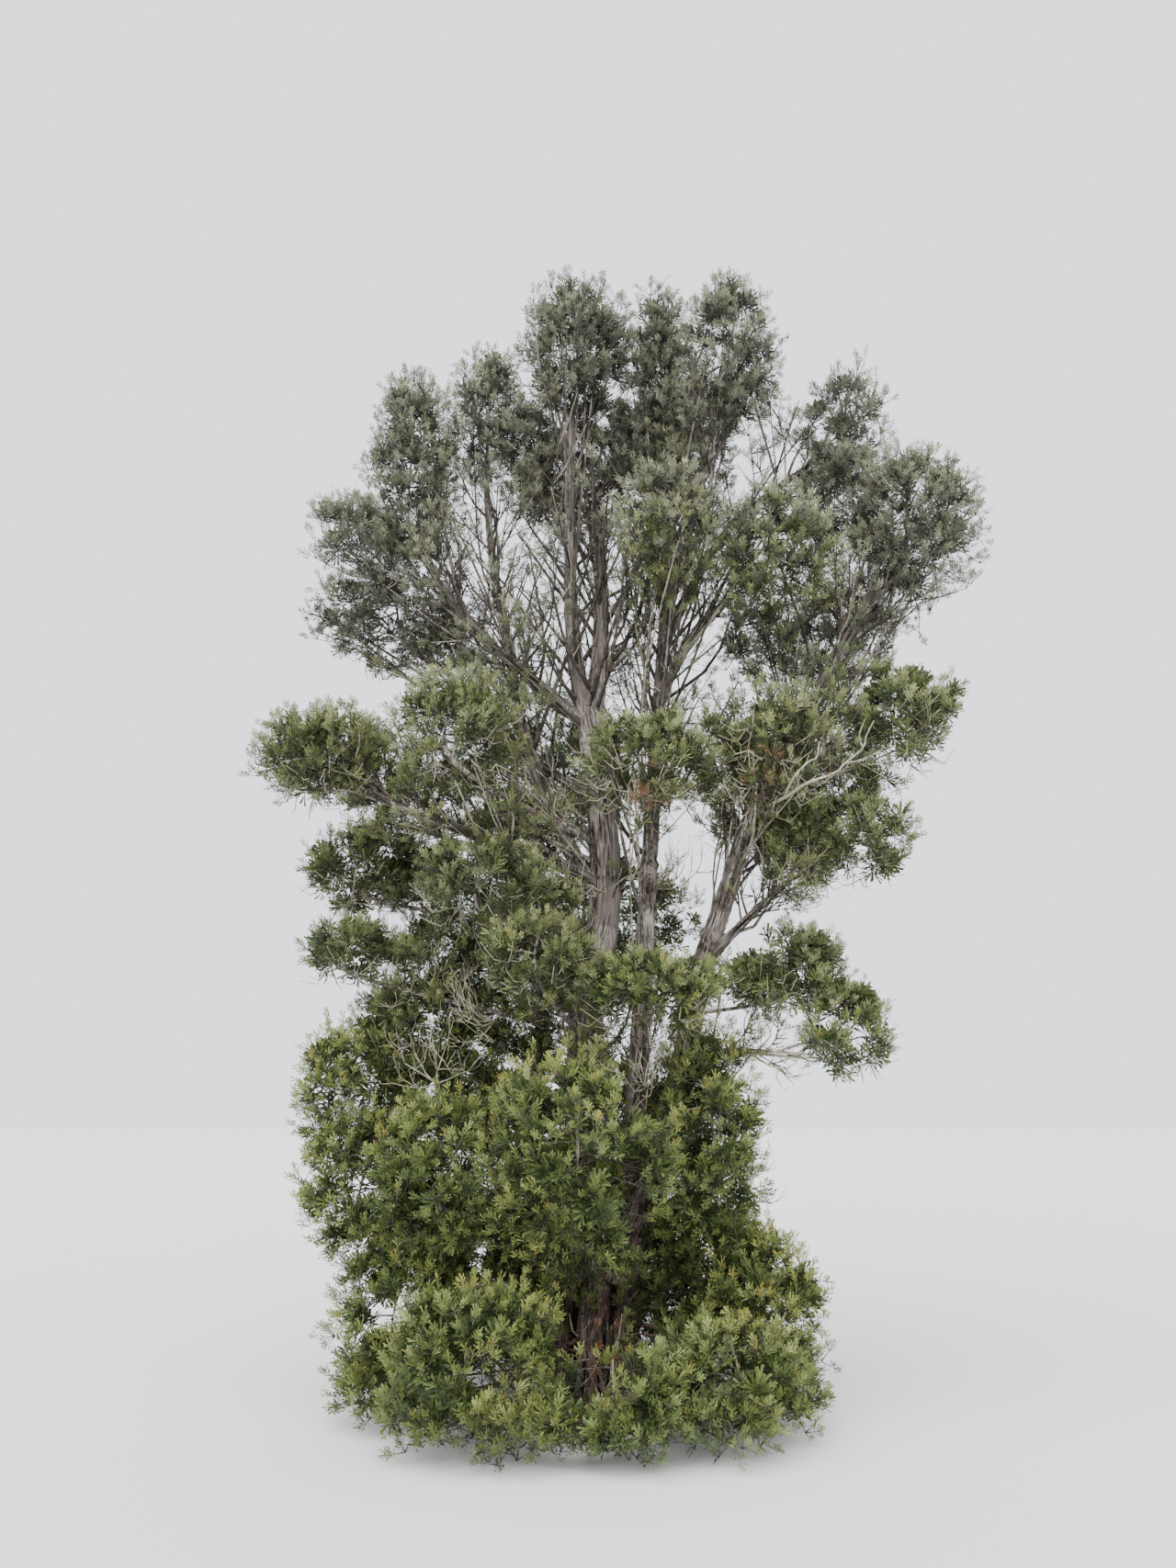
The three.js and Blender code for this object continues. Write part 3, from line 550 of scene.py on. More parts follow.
def bark_material(name, dark, middle, light, foot=None):
    """Fibrous bark: streaks along the limb, lichen-pale patches, a redder foot where one is given, and painted shade
    in its cracks.
    """
    graph = Graph(name)
    grain = graph.node("ShaderNodeAttribute", {"attribute_name": "grain"}, output=1)
    place = graph.node("ShaderNodeTexCoord", output=3)
    streaks = graph.noise(graph.scaled(grain, (1.0, 1.0, 0.06)), 95.0, 4.0, 0.6)
    bands = graph.noise(graph.scaled(grain, (1.0, 1.0, 0.12)), 26.0, 3.0, 0.5)
    patches = graph.noise(place, 5.0, 3.0, 0.6)
    colour = graph.blend(graph.ramp(0.6 * streaks + 0.4 * bands, 0.38, 0.56), linear(dark), linear(middle))
    colour = graph.blend(graph.ramp(0.5 * streaks + 0.5 * patches, 0.5, 0.64), colour, linear(light))
    crack = graph.node("ShaderNodeAttribute", {"attribute_name": "crack"}, output=2)
    height = graph.node("ShaderNodeSeparateXYZ", None, {0: place}, output=2)
    colour = graph.blend(graph.ramp(height, *SHADY_HEIGHTS) * 0.42, colour, linear(dark))
    if foot:
        red = graph.blend(graph.ramp(streaks, 0.38, 0.6), linear(foot[0]), linear(foot[1]))
        colour = graph.blend(graph.ramp(height + 0.5 * bands, *RED_HEIGHTS) * 0.7, colour, red)
    # Painted shade: nearly black in the bark's sunk parts and the trunk's furrows, and a dark band round each collar.
    colour = graph.blend(graph.ramp(crack, 0.1, 0.8) * 0.93, colour, linear(CRACK_SHADE_COLOUR))
    bump = graph.node("ShaderNodeBump", None,
                      {"Strength": 0.7, "Distance": 0.006, "Height": 0.7 * streaks + 0.3 * bands})
    return graph.finish(graph.node("ShaderNodeBsdfPrincipled", None, {
        "Base Color": colour, "Roughness": 0.9, "Specular IOR Level": 0.2, "Normal": bump}))


LEAF_GLOW = 0.22              # share of the light on a leaf that comes through it
SHADY_HEIGHTS = (3.3, 4.8)    # bark is darker from the first to the second, in metres
RED_HEIGHTS = (1.9, 0.7)
# The colour of the painted shade in the bark's cracks, furrows and collar bands.
CRACK_SHADE_COLOUR = "0d0907"
BARK = bark_material("bark_grey_brown", "2b2522", "7d736c", "bdb4ab", foot=("160e0a", "7a6050"))
DARK_BARK = bark_material("bark_dark_boughs", "282420", "5e5850", "908a80")
PALE_BARK = bark_material("bark_pale_boughs", "6a6257", "a59c8e", "d2cbbe")
STRIP = bark_material("strip_grey_brown", "544b45", "90867e", "c4bbb1", foot=("30231b", "967f71"))
STRIP_PALE = bark_material("strip_pale", "6a6155", "958b7c", "bdb5a5")
TWIG = bark_material("twig_grey_brown", "2d2925", "585149", "7b7469")
DEAD = bark_material("twig_lichen_pale", "6f6a58", "a09a84", "c4bfa8")

# Leaf tones from the deep inside of a mass to its brightest tips, partly painted light and shade (dark shaded
# insides, bright lit tips): of each pair the second is cooler.
TONES = 6
GREENS = {
    "low": "353e24 4a572d 616b39 757f43 8a9252 9fa45f", "low_cool": "343e26 485632 5d6b3e 6f7c48 848f54 979f62",
    "mid": "3a412c 4c5433 60683e 737a4c 878d5c 9fa472", "mid_cool": "394130 4b5537 5d6842 6e7850 808860 989f71",
    "high": "454840 57594a 696b57 7b7d66 8d8f73 a2a384", "high_cool": "444841 565a4d 686d5a 7a7e68 8b8f75 a0a285",
}
PALETTE = [foliage_material("leaf_%s_%d" % (zone, k), code) for zone, codes in GREENS.items()
           for k, code in enumerate(codes.split())]
RUST, OCHRE = len(PALETTE), len(PALETTE) + 1
PALETTE += [foliage_material("leaf_rust", "83614a"), foliage_material("leaf_ochre_tip", "9c8c44")]
BANDS = np.array([1.85, 3.95])      # heights at which the low and the middle leaf colours give way to the next

# ---- trunk, stems and boughs
BARE_BOUGHS = ("bough_low_right", "bough_right_pale")
# Faces round a limb, by the radius that its foot is over; then the step between its rings, in metres, and the share
# of the bark's relief that it shows. A stem with collars has closer rings, and the trunk has values of its own.
SIDES = ((0.075, 44), (0.045, 24), (0, 14))
RING_STEP, COLLAR_STEP, RELIEF = 0.03, 0.02, 1.0
TRUNK_GRID = (110, 0.014, 2.2)
# Rings that dropped twigs left on the stems: height, ridge and bearing.
COLLARS = {
    "stem_middle": [(2.90, 0.018, -1.4), (2.74, 0.006, -2.0), (2.63, 0.006, -0.8), (2.46, 0.006, -1.9),
                    (2.30, 0.011, -1.2), (3.30, 0.007, -1.0), (3.75, 0.008, -1.8)],
    "stem_right": [(2.92, 0.007, -0.6), (2.62, 0.006, -2.2), (2.36, 0.009, -1.4), (2.12, 0.006, -0.9),
                   (3.10, 0.006, -2.0)],
    "stem_left": [(2.78, 0.007, -1.0), (3.24, 0.008, -2.0), (3.62, 0.008, -1.2)],
}


def bark_relief(limb, around, share, length, radius):
    """How far the bark stands out: long ridges, finer fibres and a few loose plates, in metres."""
    ring = np.stack([np.cos(around) * radius, np.sin(around) * radius, share * length], axis=-1)
    seed = sum(map(ord, limb.name))
    ridges = lattice_noise(ring * (38, 38, 3.2), seed)
    fibres = lattice_noise(ring * (95, 95, 7), seed + 1)
    plates = lattice_noise(ring * (16, 16, 2.2), seed + 2)
    depth = 0.05 * radius + 0.0012
    return depth * (0.9 * (1 - 2 * np.abs(ridges)) + 0.45 * fibres + 0.7 * np.maximum(plates - 0.1, 0))


def collars(limb, height, around):
    """How far a stem's rings stand out: each is a low ridge with a groove over it, in metres."""
    ring = np.zeros(len(height))
    for at, rise, bearing in COLLARS.get(limb.name, ()):
        wave = 0.012 * np.sin(around + bearing) + 0.006 * np.sin(3 * around)
        above = (height - at - wave) / 0.022
        side = 0.55 + 0.45 * np.cos(around + bearing)
        ring += rise * side * (np.exp(-above ** 2) - 0.7 * np.exp(-(above - 1.7) ** 2))
    return ring


def make_limb_mesh(limb, sides, ring_step, relief):
    """A grid of faces rolled round the limb's axis, closed at both ends, with the bark's relief."""
    length = limb.length()
    rings = max(4, round(length / ring_step))
    grid = bmesh.new()
    bmesh.ops.create_grid(grid, x_segments=rings, y_segments=sides, size=0.5)
    flat = np.array([vertex.co[:] for vertex in grid.verts])
    share = np.round((flat[:, 0] + 0.5) * rings) / rings
    around = (flat[:, 1] + 0.5) * TURN
    centres, across, third = limb.frames(np.arange(rings + 1) / rings)
    index = np.round(share * rings).astype(int)
    radius = limb.radius(share, around)
    fade = np.clip((1 - share) * length / SEAM, 0, 1)
    bark = relief * fade * bark_relief(limb, around, share, length, np.minimum(limb.radius(share, 0.3), radius))
    collar = collars(limb, centres[index, 2], around)
    furrow = limb.strands(share, around) if limb.name == "trunk" else np.zeros(len(share))
    # Mask of painted shade for the bark's colour: deep where the bark is sunk, in the trunk's furrows and round the
    # collars.
    crack = np.clip(-bark / (0.04 * radius + 0.001), 0, 1) + furrow
    crack += 0.55 * np.clip(np.abs(collar) / 0.004 - 0.3, 0, 1)
    radius = radius * (1 - FURROW_DEPTH * furrow) + bark + collar
    points = centres[index] + radius[:, None] * turned(across[index], third[index], around)
    points[:, 2] = np.maximum(points[:, 2], 0)
    if limb.name == "trunk":
        points[share == 0, 2] = 0
    grain = np.stack([radius * np.cos(around), radius * np.sin(around), share * length], axis=-1)
    crack_shade_layer = grid.verts.layers.float.new("crack")
    grain_layer = grid.verts.layers.float_vector.new("grain")
    for vertex, point, depth, place in zip(grid.verts, points, crack, grain):
        vertex.co = point
        vertex[crack_shade_layer] = depth
        vertex[grain_layer] = place
    bmesh.ops.remove_doubles(grid, verts=grid.verts, dist=1e-6)
    bmesh.ops.holes_fill(grid, edges=[edge for edge in grid.edges if edge.is_boundary], sides=0)
    bmesh.ops.recalc_face_normals(grid, faces=grid.faces)
    for face in grid.faces:
        face.smooth = len(face.verts) == 4
    mesh = bpy.data.meshes.new(limb.name)
    grid.to_mesh(mesh)
    grid.free()
    return mesh


def add_bark_strips(heap, limb, count):
    """Shaggy strips of bark that hang down along a limb, held at their upper end and loose at the lower one."""
    steps = np.linspace(0, 1, LAST_STEP + 1)
    frames = limb.frames(steps)
    length = limb.length()
    weight = np.cumsum(limb.radius(steps, 0.3))
    top = np.interp(uniform(0.03, 1, count) * weight[-1], weight, steps)
    reach = uniform(0.05, 0.20, count) / length
    bearing = uniform(0, TURN, count)
    part = np.linspace(0, 1, RINGS_STRIP)
    share = np.clip(top[:, None] - reach[:, None] * part, 0.004, 0.996)
    angle = bearing[:, None] + 0.12 * normal(size=(count, 1)) * part
    place = share * LAST_STEP
    low = np.minimum(place.astype(int), LAST_STEP - 1)
    mix = (place - low)[..., None]
    centre, across, third = (block[low] * (1 - mix) + block[low + 1] * mix for block in frames)
    outwards, sideways = turned(across, third, angle), turned(third, -across, angle)
    girth = limb.radius(share, angle)
    relief = bark_relief(limb, angle, share, length, girth)
    loose = uniform(0.0, 1.0, count)[:, None] ** 3 * 0.016 * part ** 2
    if limb.name == "trunk":
        girth = girth * (1 - FURROW_DEPTH * limb.strands(share, angle))
    middle = centre + (girth + np.maximum(relief, 0) + 0.0005 + loose)[..., None] * outwards
    width = uniform(0.0025, 0.006, count)[:, None] * np.sin(math.pi * (0.18 + 0.72 * part)) ** 0.6
    edge, sunk = width[..., None] * sideways, 0.4 * STRIP_THICK * outwards
    ring = np.stack([middle - edge - sunk, middle + STRIP_THICK * outwards, middle + edge - sunk], axis=2)
    heap.add(ring.reshape(-1, 3), tube_faces(count, RINGS_STRIP, 3))


# ---- masses of foliage
class Mass:
    """A mass of sprays: its space, in metres, and the stem that carries it."""

    def __init__(self, row):
        name, carrier, leaves, *numbers = row.split()
        numbers = np.array(numbers, float)
        limb = LIMBS[carrier]
        self.name, self.limb = name, limb
        self.centre, self.half = numbers[:3] / 1000, numbers[3:6] / 1000
        self.tone, self.density, self.warm = [*numbers[6:], *(0, 1, 0)[len(numbers) - 6:]]
        self.lean = np.array(LEANING.get(name, (0, 0)))
        self.share = 1.0 if leaves == "tip" else share_at_height(limb.points, float(leaves) / 1000)
        foot = limb.at(self.share)[0]
        heart, top = self.space(np.array([[0, 0, HEART], [0, 0, STEM_TOP]]))
        points = [foot, heart, top]
        self.radius = min(THICKEST_TWIG_STEM / 1000, TWIG_STEM_SHARE * float(limb.radius(self.share)))
        if leaves == "tip":
            onwards = unit(limb.at(1.0)[0] - limb.at(0.999)[0])
            straight_on = foot + onwards * 0.7 * norm(heart - foot)
            points = [foot - onwards * 0.012, foot, heart + 0.45 * (straight_on - heart), top]
            self.radius = TIP_STEM_SHARE * float(limb.radius(1.0))
        self.stem = np.array(points)
        self.heart_at = (len(points) - 2) / (len(points) - 1)

    def space(self, points):
        """Points of the mass's space from points in a ball of radius 1."""
        rise = points[..., 2:3] * self.half[2]
        flat = self.centre[:2] + points[..., :2] * self.half[:2] * (1 + DOME * points[..., 2:3]) + self.lean * rise
        return np.concatenate([flat, self.centre[2] + rise], axis=-1)

    def ball(self, points):
        """The other way round: where points of the mass's space are in the ball of radius 1."""
        offset = points - self.centre
        rise = offset[:, 2:3] / self.half[2]
        flat = (offset[:, :2] - self.lean * offset[:, 2:3]) / (self.half[:2] * (1 + DOME * rise))
        return np.concatenate([flat, rise], axis=1)

    def area(self):
        """Close to the area of the space's skin, as of an ellipsoid."""
        a, b, c = self.half ** 1.6
        return 4 * math.pi * ((a * b + a * c + b * c) / 3) ** (1 / 1.6)


def skin_directions(count, turn, jitter, low=LOWEST_TIP):
    """Points of a ball of radius 1 from low to the highest tip, each a golden angle on from the last."""
    height = low + (HIGHEST_TIP - low) * (np.arange(count) + 0.5 * jitter * uniform(-1, 1, count)) / (count - 1)
    height = np.clip(height, -0.98, 0.995)
    bearing = np.arange(count) * GOLDEN_ANGLE + turn + jitter * uniform(-0.2, 0.2, count)
    ring = np.sqrt(1 - height ** 2)
    return np.stack([ring * np.cos(bearing), ring * np.sin(bearing), height], axis=-1)


def frond_shape(seed):
    """A flat spray in its own outline, root to tip along X: four blunt leafy fingers that fan out from one stalk."""
    shape = np.random.default_rng(seed)
    points = []
    for turn, length, begins in ((shape.uniform(-0.1, 0.2), 1.0, 0.0), (shape.uniform(-0.45, -0.25), 0.92, 0.05),
                                 (shape.uniform(0.5, 0.8), shape.uniform(0.6, 0.8), 0.08),
                                 (-shape.uniform(0.65, 0.95), shape.uniform(0.5, 0.7), 0.18)):
        along = np.array([math.cos(turn), math.sin(turn), shape.uniform(-0.35, 0.35)])
        across = np.array([-math.sin(turn), math.cos(turn), shape.uniform(-0.5, 0.5)]) * shape.uniform(0.065, 0.085)
        root = np.array([begins, 0, 0])
        points += [root, root + along * length * 0.9 - across, root + along * length + 0.6 * across]
    return np.array(points), np.arange(len(points)).reshape(-1, 3)


SHAPES = [frond_shape(seed) for seed in range(6)]


def add_fronds(heap, root, along, facing, length, slots, broad):
    """Flat sprays: each root, direction, facing and length takes one of the shapes in turn."""
    across = unit(np.cross(facing, along))
    facing = np.cross(along, across)
    for kind, (points, faces) in enumerate(SHAPES):
        pick = np.arange(len(root)) % len(SHAPES) == kind
        x, y, z = (points[:, k:k + 1] for k in range(3))
        placed = root[pick][:, None] + length[pick][:, None, None] * (
            x * along[pick][:, None] + broad * y * across[pick][:, None] + z * facing[pick][:, None])
        index = (np.arange(pick.sum()) * len(points))[:, None, None] + faces
        heap.add(placed.reshape(-1, 3), [index.reshape(-1, 3)], [np.repeat(slots[pick], len(faces))])


# ---- the rule that masses grow by
def changed(rule, **values):
    return SimpleNamespace(**{**vars(rule), **values})


LOW = SimpleNamespace(
    # clusters: how many, the share left out, the share set deep inside, their height under which they are bare
    density=1.0, gaps=0.03, open=0.0, shell=-2.0,
    # how much they grow outwards and up, how uneven the skin is, how far a mass spreads out at its foot
    out=0.8, up=0.6, bulge=0.12, hem=0.0,
    # main twigs: the share that leave the limb, those ones' radius, how far down they leave, how far they bow up
    feeders=0.15, feeder=0.014, drop=0.3, lift=0.10, slim=0.6, pale=0.08,
    # twigs on the run of a mass's stem: the step between them, their length, the share of their forks with leaves
    stem_twig_step=0.09, along=0.30, leafy=0.3,
    # sprigs for each cluster, fronds for each sprig: length, breadth, where they begin, spread, upward turn, stalks
    sprig=0.085, sprigs=6, fronds=7, frond=0.042, broad=1.0, bare=0.30, spread=1, perk=0.32, stalks=True,
    # inner sprays for each cluster, painted dark as shade, their fronds' length, how far out they reach; by how much
    # the colours of the low masses reach up, in metres, and whether the sprays are dead and rust-coloured
    inner=3.0, fill=0.068, within=0.92, warm=0.0, rusty=False)
MIDDLE = changed(LOW, stem_twig_step=0.07, gaps=0.04, feeders=0.18, frond=0.039, pale=0.25, shell=-0.25, leafy=0.5)
HIGH = changed(LOW, stem_twig_step=0.06, density=1.15, open=0.17, gaps=0.04, feeders=0.38, feeder=0.019, slim=0.85,
               drop=1.1, lift=-0.03, out=0.55, up=0.9, inner=2.6, within=0.88, fill=0.067, frond=0.041, perk=0.35,
               leafy=0.45)
ZONES = [
    ("skirt", changed(LOW, hem=0.4, slim=0.45, inner=3.5), "foliage_low"),
    ("shoulders", changed(LOW, inner=3.3), "foliage_low"),
    ("lobes", MIDDLE, "foliage_low"),
    ("canopy", changed(HIGH, open=0.2, drop=0.7, density=1.05, shell=-0.35, pale=0.2), "foliage_high"),
    ("crown_left", HIGH, "foliage_high"),
    ("crown_right", HIGH, "foliage_high"),
]

# Where stems show between the masses: lowest and highest corner of each space with few leaves, in metres.
CLEARINGS = np.array([
    [(0.12, -0.60, 2.28), (0.98, 0.35, 3.00)], [(-0.16, -0.70, 3.60), (0.42, 0.10, 4.25)],
    [(-0.15, -1.50, 0.26), (0.03, -0.85, 0.55)], [(-0.17, -0.85, 0.12), (0.13, -0.20, 0.54)],
    [(0.13, -1.20, 0.82), (0.25, -0.20, 1.25)], [(0.12, -1.25, 1.44), (0.38, -0.30, 1.98)]])
# Where a mass lets the trunk and the stems show: the lowest and the highest X and Z without clusters.
WINDOW = {"dome_front": ((0.14, 1.44), (0.6, 2.0)), "skirt_front": ((-0.17, 0.04), (0.13, 0.9)),
          "skirt_front_left": ((-0.22, 0.0), (0.2, 0.6))}
RUST_SPOTS = np.array([[-0.15, -0.75, 3.1], [0.25, -0.7, 3.1], [0.95, -0.7, 3.2]])
# Dead rust-coloured sprigs on a bare twig before the trunk: where each starts and where it points.
RUST_SPRAYS = np.array([[-0.02, -0.52, 0.40, 0.2, -0.8, -0.1], [0.00, -0.55, 0.38, -0.6, -0.7, -0.2],
                        [0.03, -0.52, 0.36, 0.7, -0.5, -0.3], [-0.01, -0.58, 0.39, 0.1, -0.5, 0.6],
                        [0.02, -0.56, 0.35, -0.2, -0.6, -0.7], [0.04, -0.50, 0.42, 0.8, -0.4, 0.4]])

# Side twigs on the limbs: limb, lowest and highest share, how many, length, share of forks with leaves.
SIDE_TWIGS = {
    "shoulders": [("stem_left", 0.05, 0.25, 14, 0.45, 0.6), ("stem_right", 0.0, 0.2, 8, 0.4, 0.6),
                  ("stem_middle", 0.05, 0.2, 8, 0.4, 0.6)],
    "lobes": [("stem_left", 0.25, 0.62, 22, 0.5, 0.4), ("stem_middle", 0.2, 0.45, 6, 0.4, 0.2),
              ("bough_low_right", 0.3, 0.95, 8, 0.35, 0.4), ("bough_right_elbow", 0.4, 0.95, 18, 0.4, 0.4)],
    "canopy": [("stem_left", 0.62, 1.0, 20, 0.5, 0.3), ("stem_middle", 0.64, 0.78, 12, 0.5, 0.3),
               ("stem_right", 0.7, 0.85, 14, 0.6, 0.4), ("bough_far_left", 0.2, 1.0, 24, 0.5, 0.65),
               ("bough_left_back", 0.15, 0.95, 26, 0.55, 0.65), ("bough_right_pale", 0.2, 1.0, 16, 0.55, 0.45)],
    "crown_left": [("stem_left_west", 0.0, 0.85, 26, 0.95, 0.4), ("stem_left_east", 0.0, 0.85, 22, 0.85, 0.35),
                   ("stem_far_left", 0.2, 0.9, 30, 0.8, 0.4), ("bough_left_high", 0.2, 0.95, 24, 0.65, 0.5)],
    "crown_right": [("stem_middle", 0.58, 0.9, 26, 0.95, 0.4), ("bough_right_sky", 0.2, 0.97, 18, 0.6, 0.3),
                    ("bough_right_high", 0.2, 1.0, 8, 0.45, 0.5), ("stem_right", 0.72, 1.0, 30, 0.85, 0.6)],
}
# Bare dead twigs: where they start, which way they lean, and how far they reach.
TANGLES = [
    ((-0.85, -0.35, 1.62), (-0.6, -0.6, 0.5), 0.42), ((-0.55, -0.30, 1.95), (-0.8, -0.5, 0.2), 0.40),
    ((-0.95, -0.10, 2.15), (-0.7, -0.6, 0.1), 0.36), ((0.27, -0.45, 1.60), (0.1, -0.9, 0.15), 0.42),
    ((-0.02, -0.16, 2.72), (-0.9, -0.6, 0.1), 0.42), ((0.36, 0.08, 2.75), (0.8, -0.5, 0.5), 0.42),
    ((-0.25, -0.15, 3.05), (-0.5, -0.7, 0.5), 0.45), ((1.25, -0.25, 3.30), (0.6, -0.5, 0.7), 0.45),
    ((1.05, -0.20, 2.75), (0.8, -0.5, 0.3), 0.42), ((0.75, -0.30, 1.15), (0.9, -0.4, 0.1), 0.34),
    ((0.85, -0.25, 1.78), (0.8, -0.4, -0.1), 0.40),
]
# Bare pale branches before the right fan: points along each, then its radius at foot and tip, in metres.
BARE_BRANCHES = [
    ([(0.97, 0.0, 3.22), (1.00, -0.44, 3.14), (1.06, -0.70, 3.13), (1.12, -0.80, 3.16), (1.27, -0.82, 3.21),
      (1.33, -0.80, 3.27), (1.43, -0.80, 3.35), (1.46, -0.77, 3.43), (1.51, -0.76, 3.52)], 0.010, 0.0035),
    ([(1.03, -0.62, 3.13), (1.06, -0.78, 3.20), (1.13, -0.82, 3.27), (1.18, -0.81, 3.30), (1.20, -0.80, 3.39)],
     0.007, 0.003),
    ([(1.33, -0.80, 3.27), (1.42, -0.83, 3.28), (1.52, -0.86, 3.33)], 0.005, 0.0025),
    ([(1.43, -0.80, 3.35), (1.41, -0.83, 3.42), (1.44, -0.85, 3.50)], 0.0045, 0.0025),
]


def add_sprigs(rule, roots, directions, length, tone, cool):
    """Leafy twigs: fronds all round the outer part of each, fanned out into a rounded head."""
    ends = roots + (directions + 0.12 * UP) * length[:, None]
    keep = clear_of_limbs(roots + directions * length[:, None] * 0.7) & in_reach(ends)
    for low, high in CLEARINGS if not rule.rusty else ():
        keep &= ~inside(ends, low, high) | (uniform(size=len(ends)) < STRAYS)
    roots, ends, tone, cool = (part[keep] for part in (roots, ends, tone, cool))
    count, fronds = len(roots), rule.fronds
    if not count:
        return
    if rule.stalks:
        add_spikes(rule.twigs, roots, ends, SPRIG_RADIUS)
    share = (np.arange(fronds) + uniform(0, 1, (count, fronds))) / fronds
    share = (rule.bare + (1 - rule.bare) * share ** 0.8)[..., None]
    run = ends - roots
    place = roots[:, None] + share * run[:, None]
    aim = unit(run)[:, None]
    across = unit(np.cross(aim, normal(size=(count, 1, 3))))
    bearing = np.arange(fronds) * GOLDEN_ANGLE + normal(size=(count, fronds)) * 0.4
    side = turned(across, np.cross(aim, across), bearing)
    fan = rule.spread * np.radians(12 + 42 * (1 - share) + 12 * normal(size=share.shape))
    along = unit(np.cos(fan) * aim + np.sin(fan) * side + rule.perk * UP)
    facing = unit(side * np.cos(fan) - aim * np.sin(fan) + 0.6 * normal(size=along.shape))
    size = rule.frond * uniform(0.75, 1.25, (count, fronds))
    # Partly painted light and shade: fronds further out on a sprig are brighter, those near its foot darker.
    shade = tone[:, None] + 0.40 * (share[..., 0] - 0.62) + 0.10 * normal(size=(count, fronds))
    height = roots[:, 2] + 0.22 * normal(size=count) - rule.warm
    band = 2 * TONES * np.searchsorted(BANDS, height)
    slots = (band + TONES * cool)[:, None] + np.clip((shade * TONES).astype(int), 0, TONES - 1)
    ochre = (band == 0)[:, None] & (shade > 0.8) & (uniform(size=shade.shape) < OCHRE_SHARE)
    slots = np.where(ochre, OCHRE, slots).ravel()
    place, along, facing, size = (*(part.reshape(-1, 3) for part in (place, along, facing)), size.ravel())
    near = norm(place[:, None] - RUST_SPOTS[None], axis=-1).min(axis=1)
    chance = 0.95 if rule.rusty else 0.8 * np.exp(-(near / RUST_REACH) ** 2)
    slots = np.where(uniform(size=slots.size) < chance, RUST, slots)
    keep = in_reach(place + along * size[:, None]) & (place[:, 2] > 0.9 * size * rule.broad)
    add_fronds(rule.leaves, *(part[keep] for part in (place, along, facing, size, slots)), rule.broad)


def add_clusters(rule, roots, nests, growth, tone):
    """Twigs from roots to nests, each ending in a dome of sprigs that open towards its growth direction."""
    paths = bowed(roots, nests, 0.6 * rule.lift, RINGS_CLUSTER, 0.06)
    pale = (uniform(size=len(nests)) < rule.pale).astype(int)
    if rule.open:
        add_tubes(rule.twigs, paths[:, ::2], CLUSTER_RADIUS, 0.55, 3, pale)
    else:
        add_spikes(rule.twigs, roots, nests, 0.96 * CLUSTER_RADIUS, pale)
        paths = roots[:, None] + np.linspace(0, 1, RINGS_CLUSTER)[:, None] * (nests - roots)[:, None]
    ball = skin_directions(rule.sprigs, 0, 0.7, low=-0.05)
    across = unit(np.cross(growth, [0.31, 0.93, 0.2]))
    third = np.cross(growth, across)
    spin = uniform(0, TURN, len(nests))[:, None]
    x = ball[:, 0] * np.cos(spin) - ball[:, 1] * np.sin(spin)
    y = ball[:, 0] * np.sin(spin) + ball[:, 1] * np.cos(spin)
    dome = x[..., None] * across[:, None] + y[..., None] * third[:, None] + ball[:, 2:3] * growth[:, None]
    leaving = integers(RINGS_CLUSTER // 2, RINGS_CLUSTER, x.shape)
    leaving[:, -1] = RINGS_CLUSTER - 1
    foot = paths[np.arange(len(nests))[:, None], leaving]
    directions = unit(dome + 0.35 * growth[:, None] + 0.15 * normal(size=dome.shape))
    length = rule.sprig * uniform(0.75, 1.3, x.shape)
    # Painted light: sprigs that face up are brighter.
    shade = tone[:, None] + 0.16 * dome[..., 2] + 0.05 * normal(size=x.shape)
    cool = lattice_noise(nests * 2.6, 77) + 0.5 * normal(size=len(nests)) > 0.15
    add_sprigs(rule, foot.reshape(-1, 3), directions.reshape(-1, 3), length.ravel(), shade.ravel(),
               np.repeat(cool.astype(int), rule.sprigs))


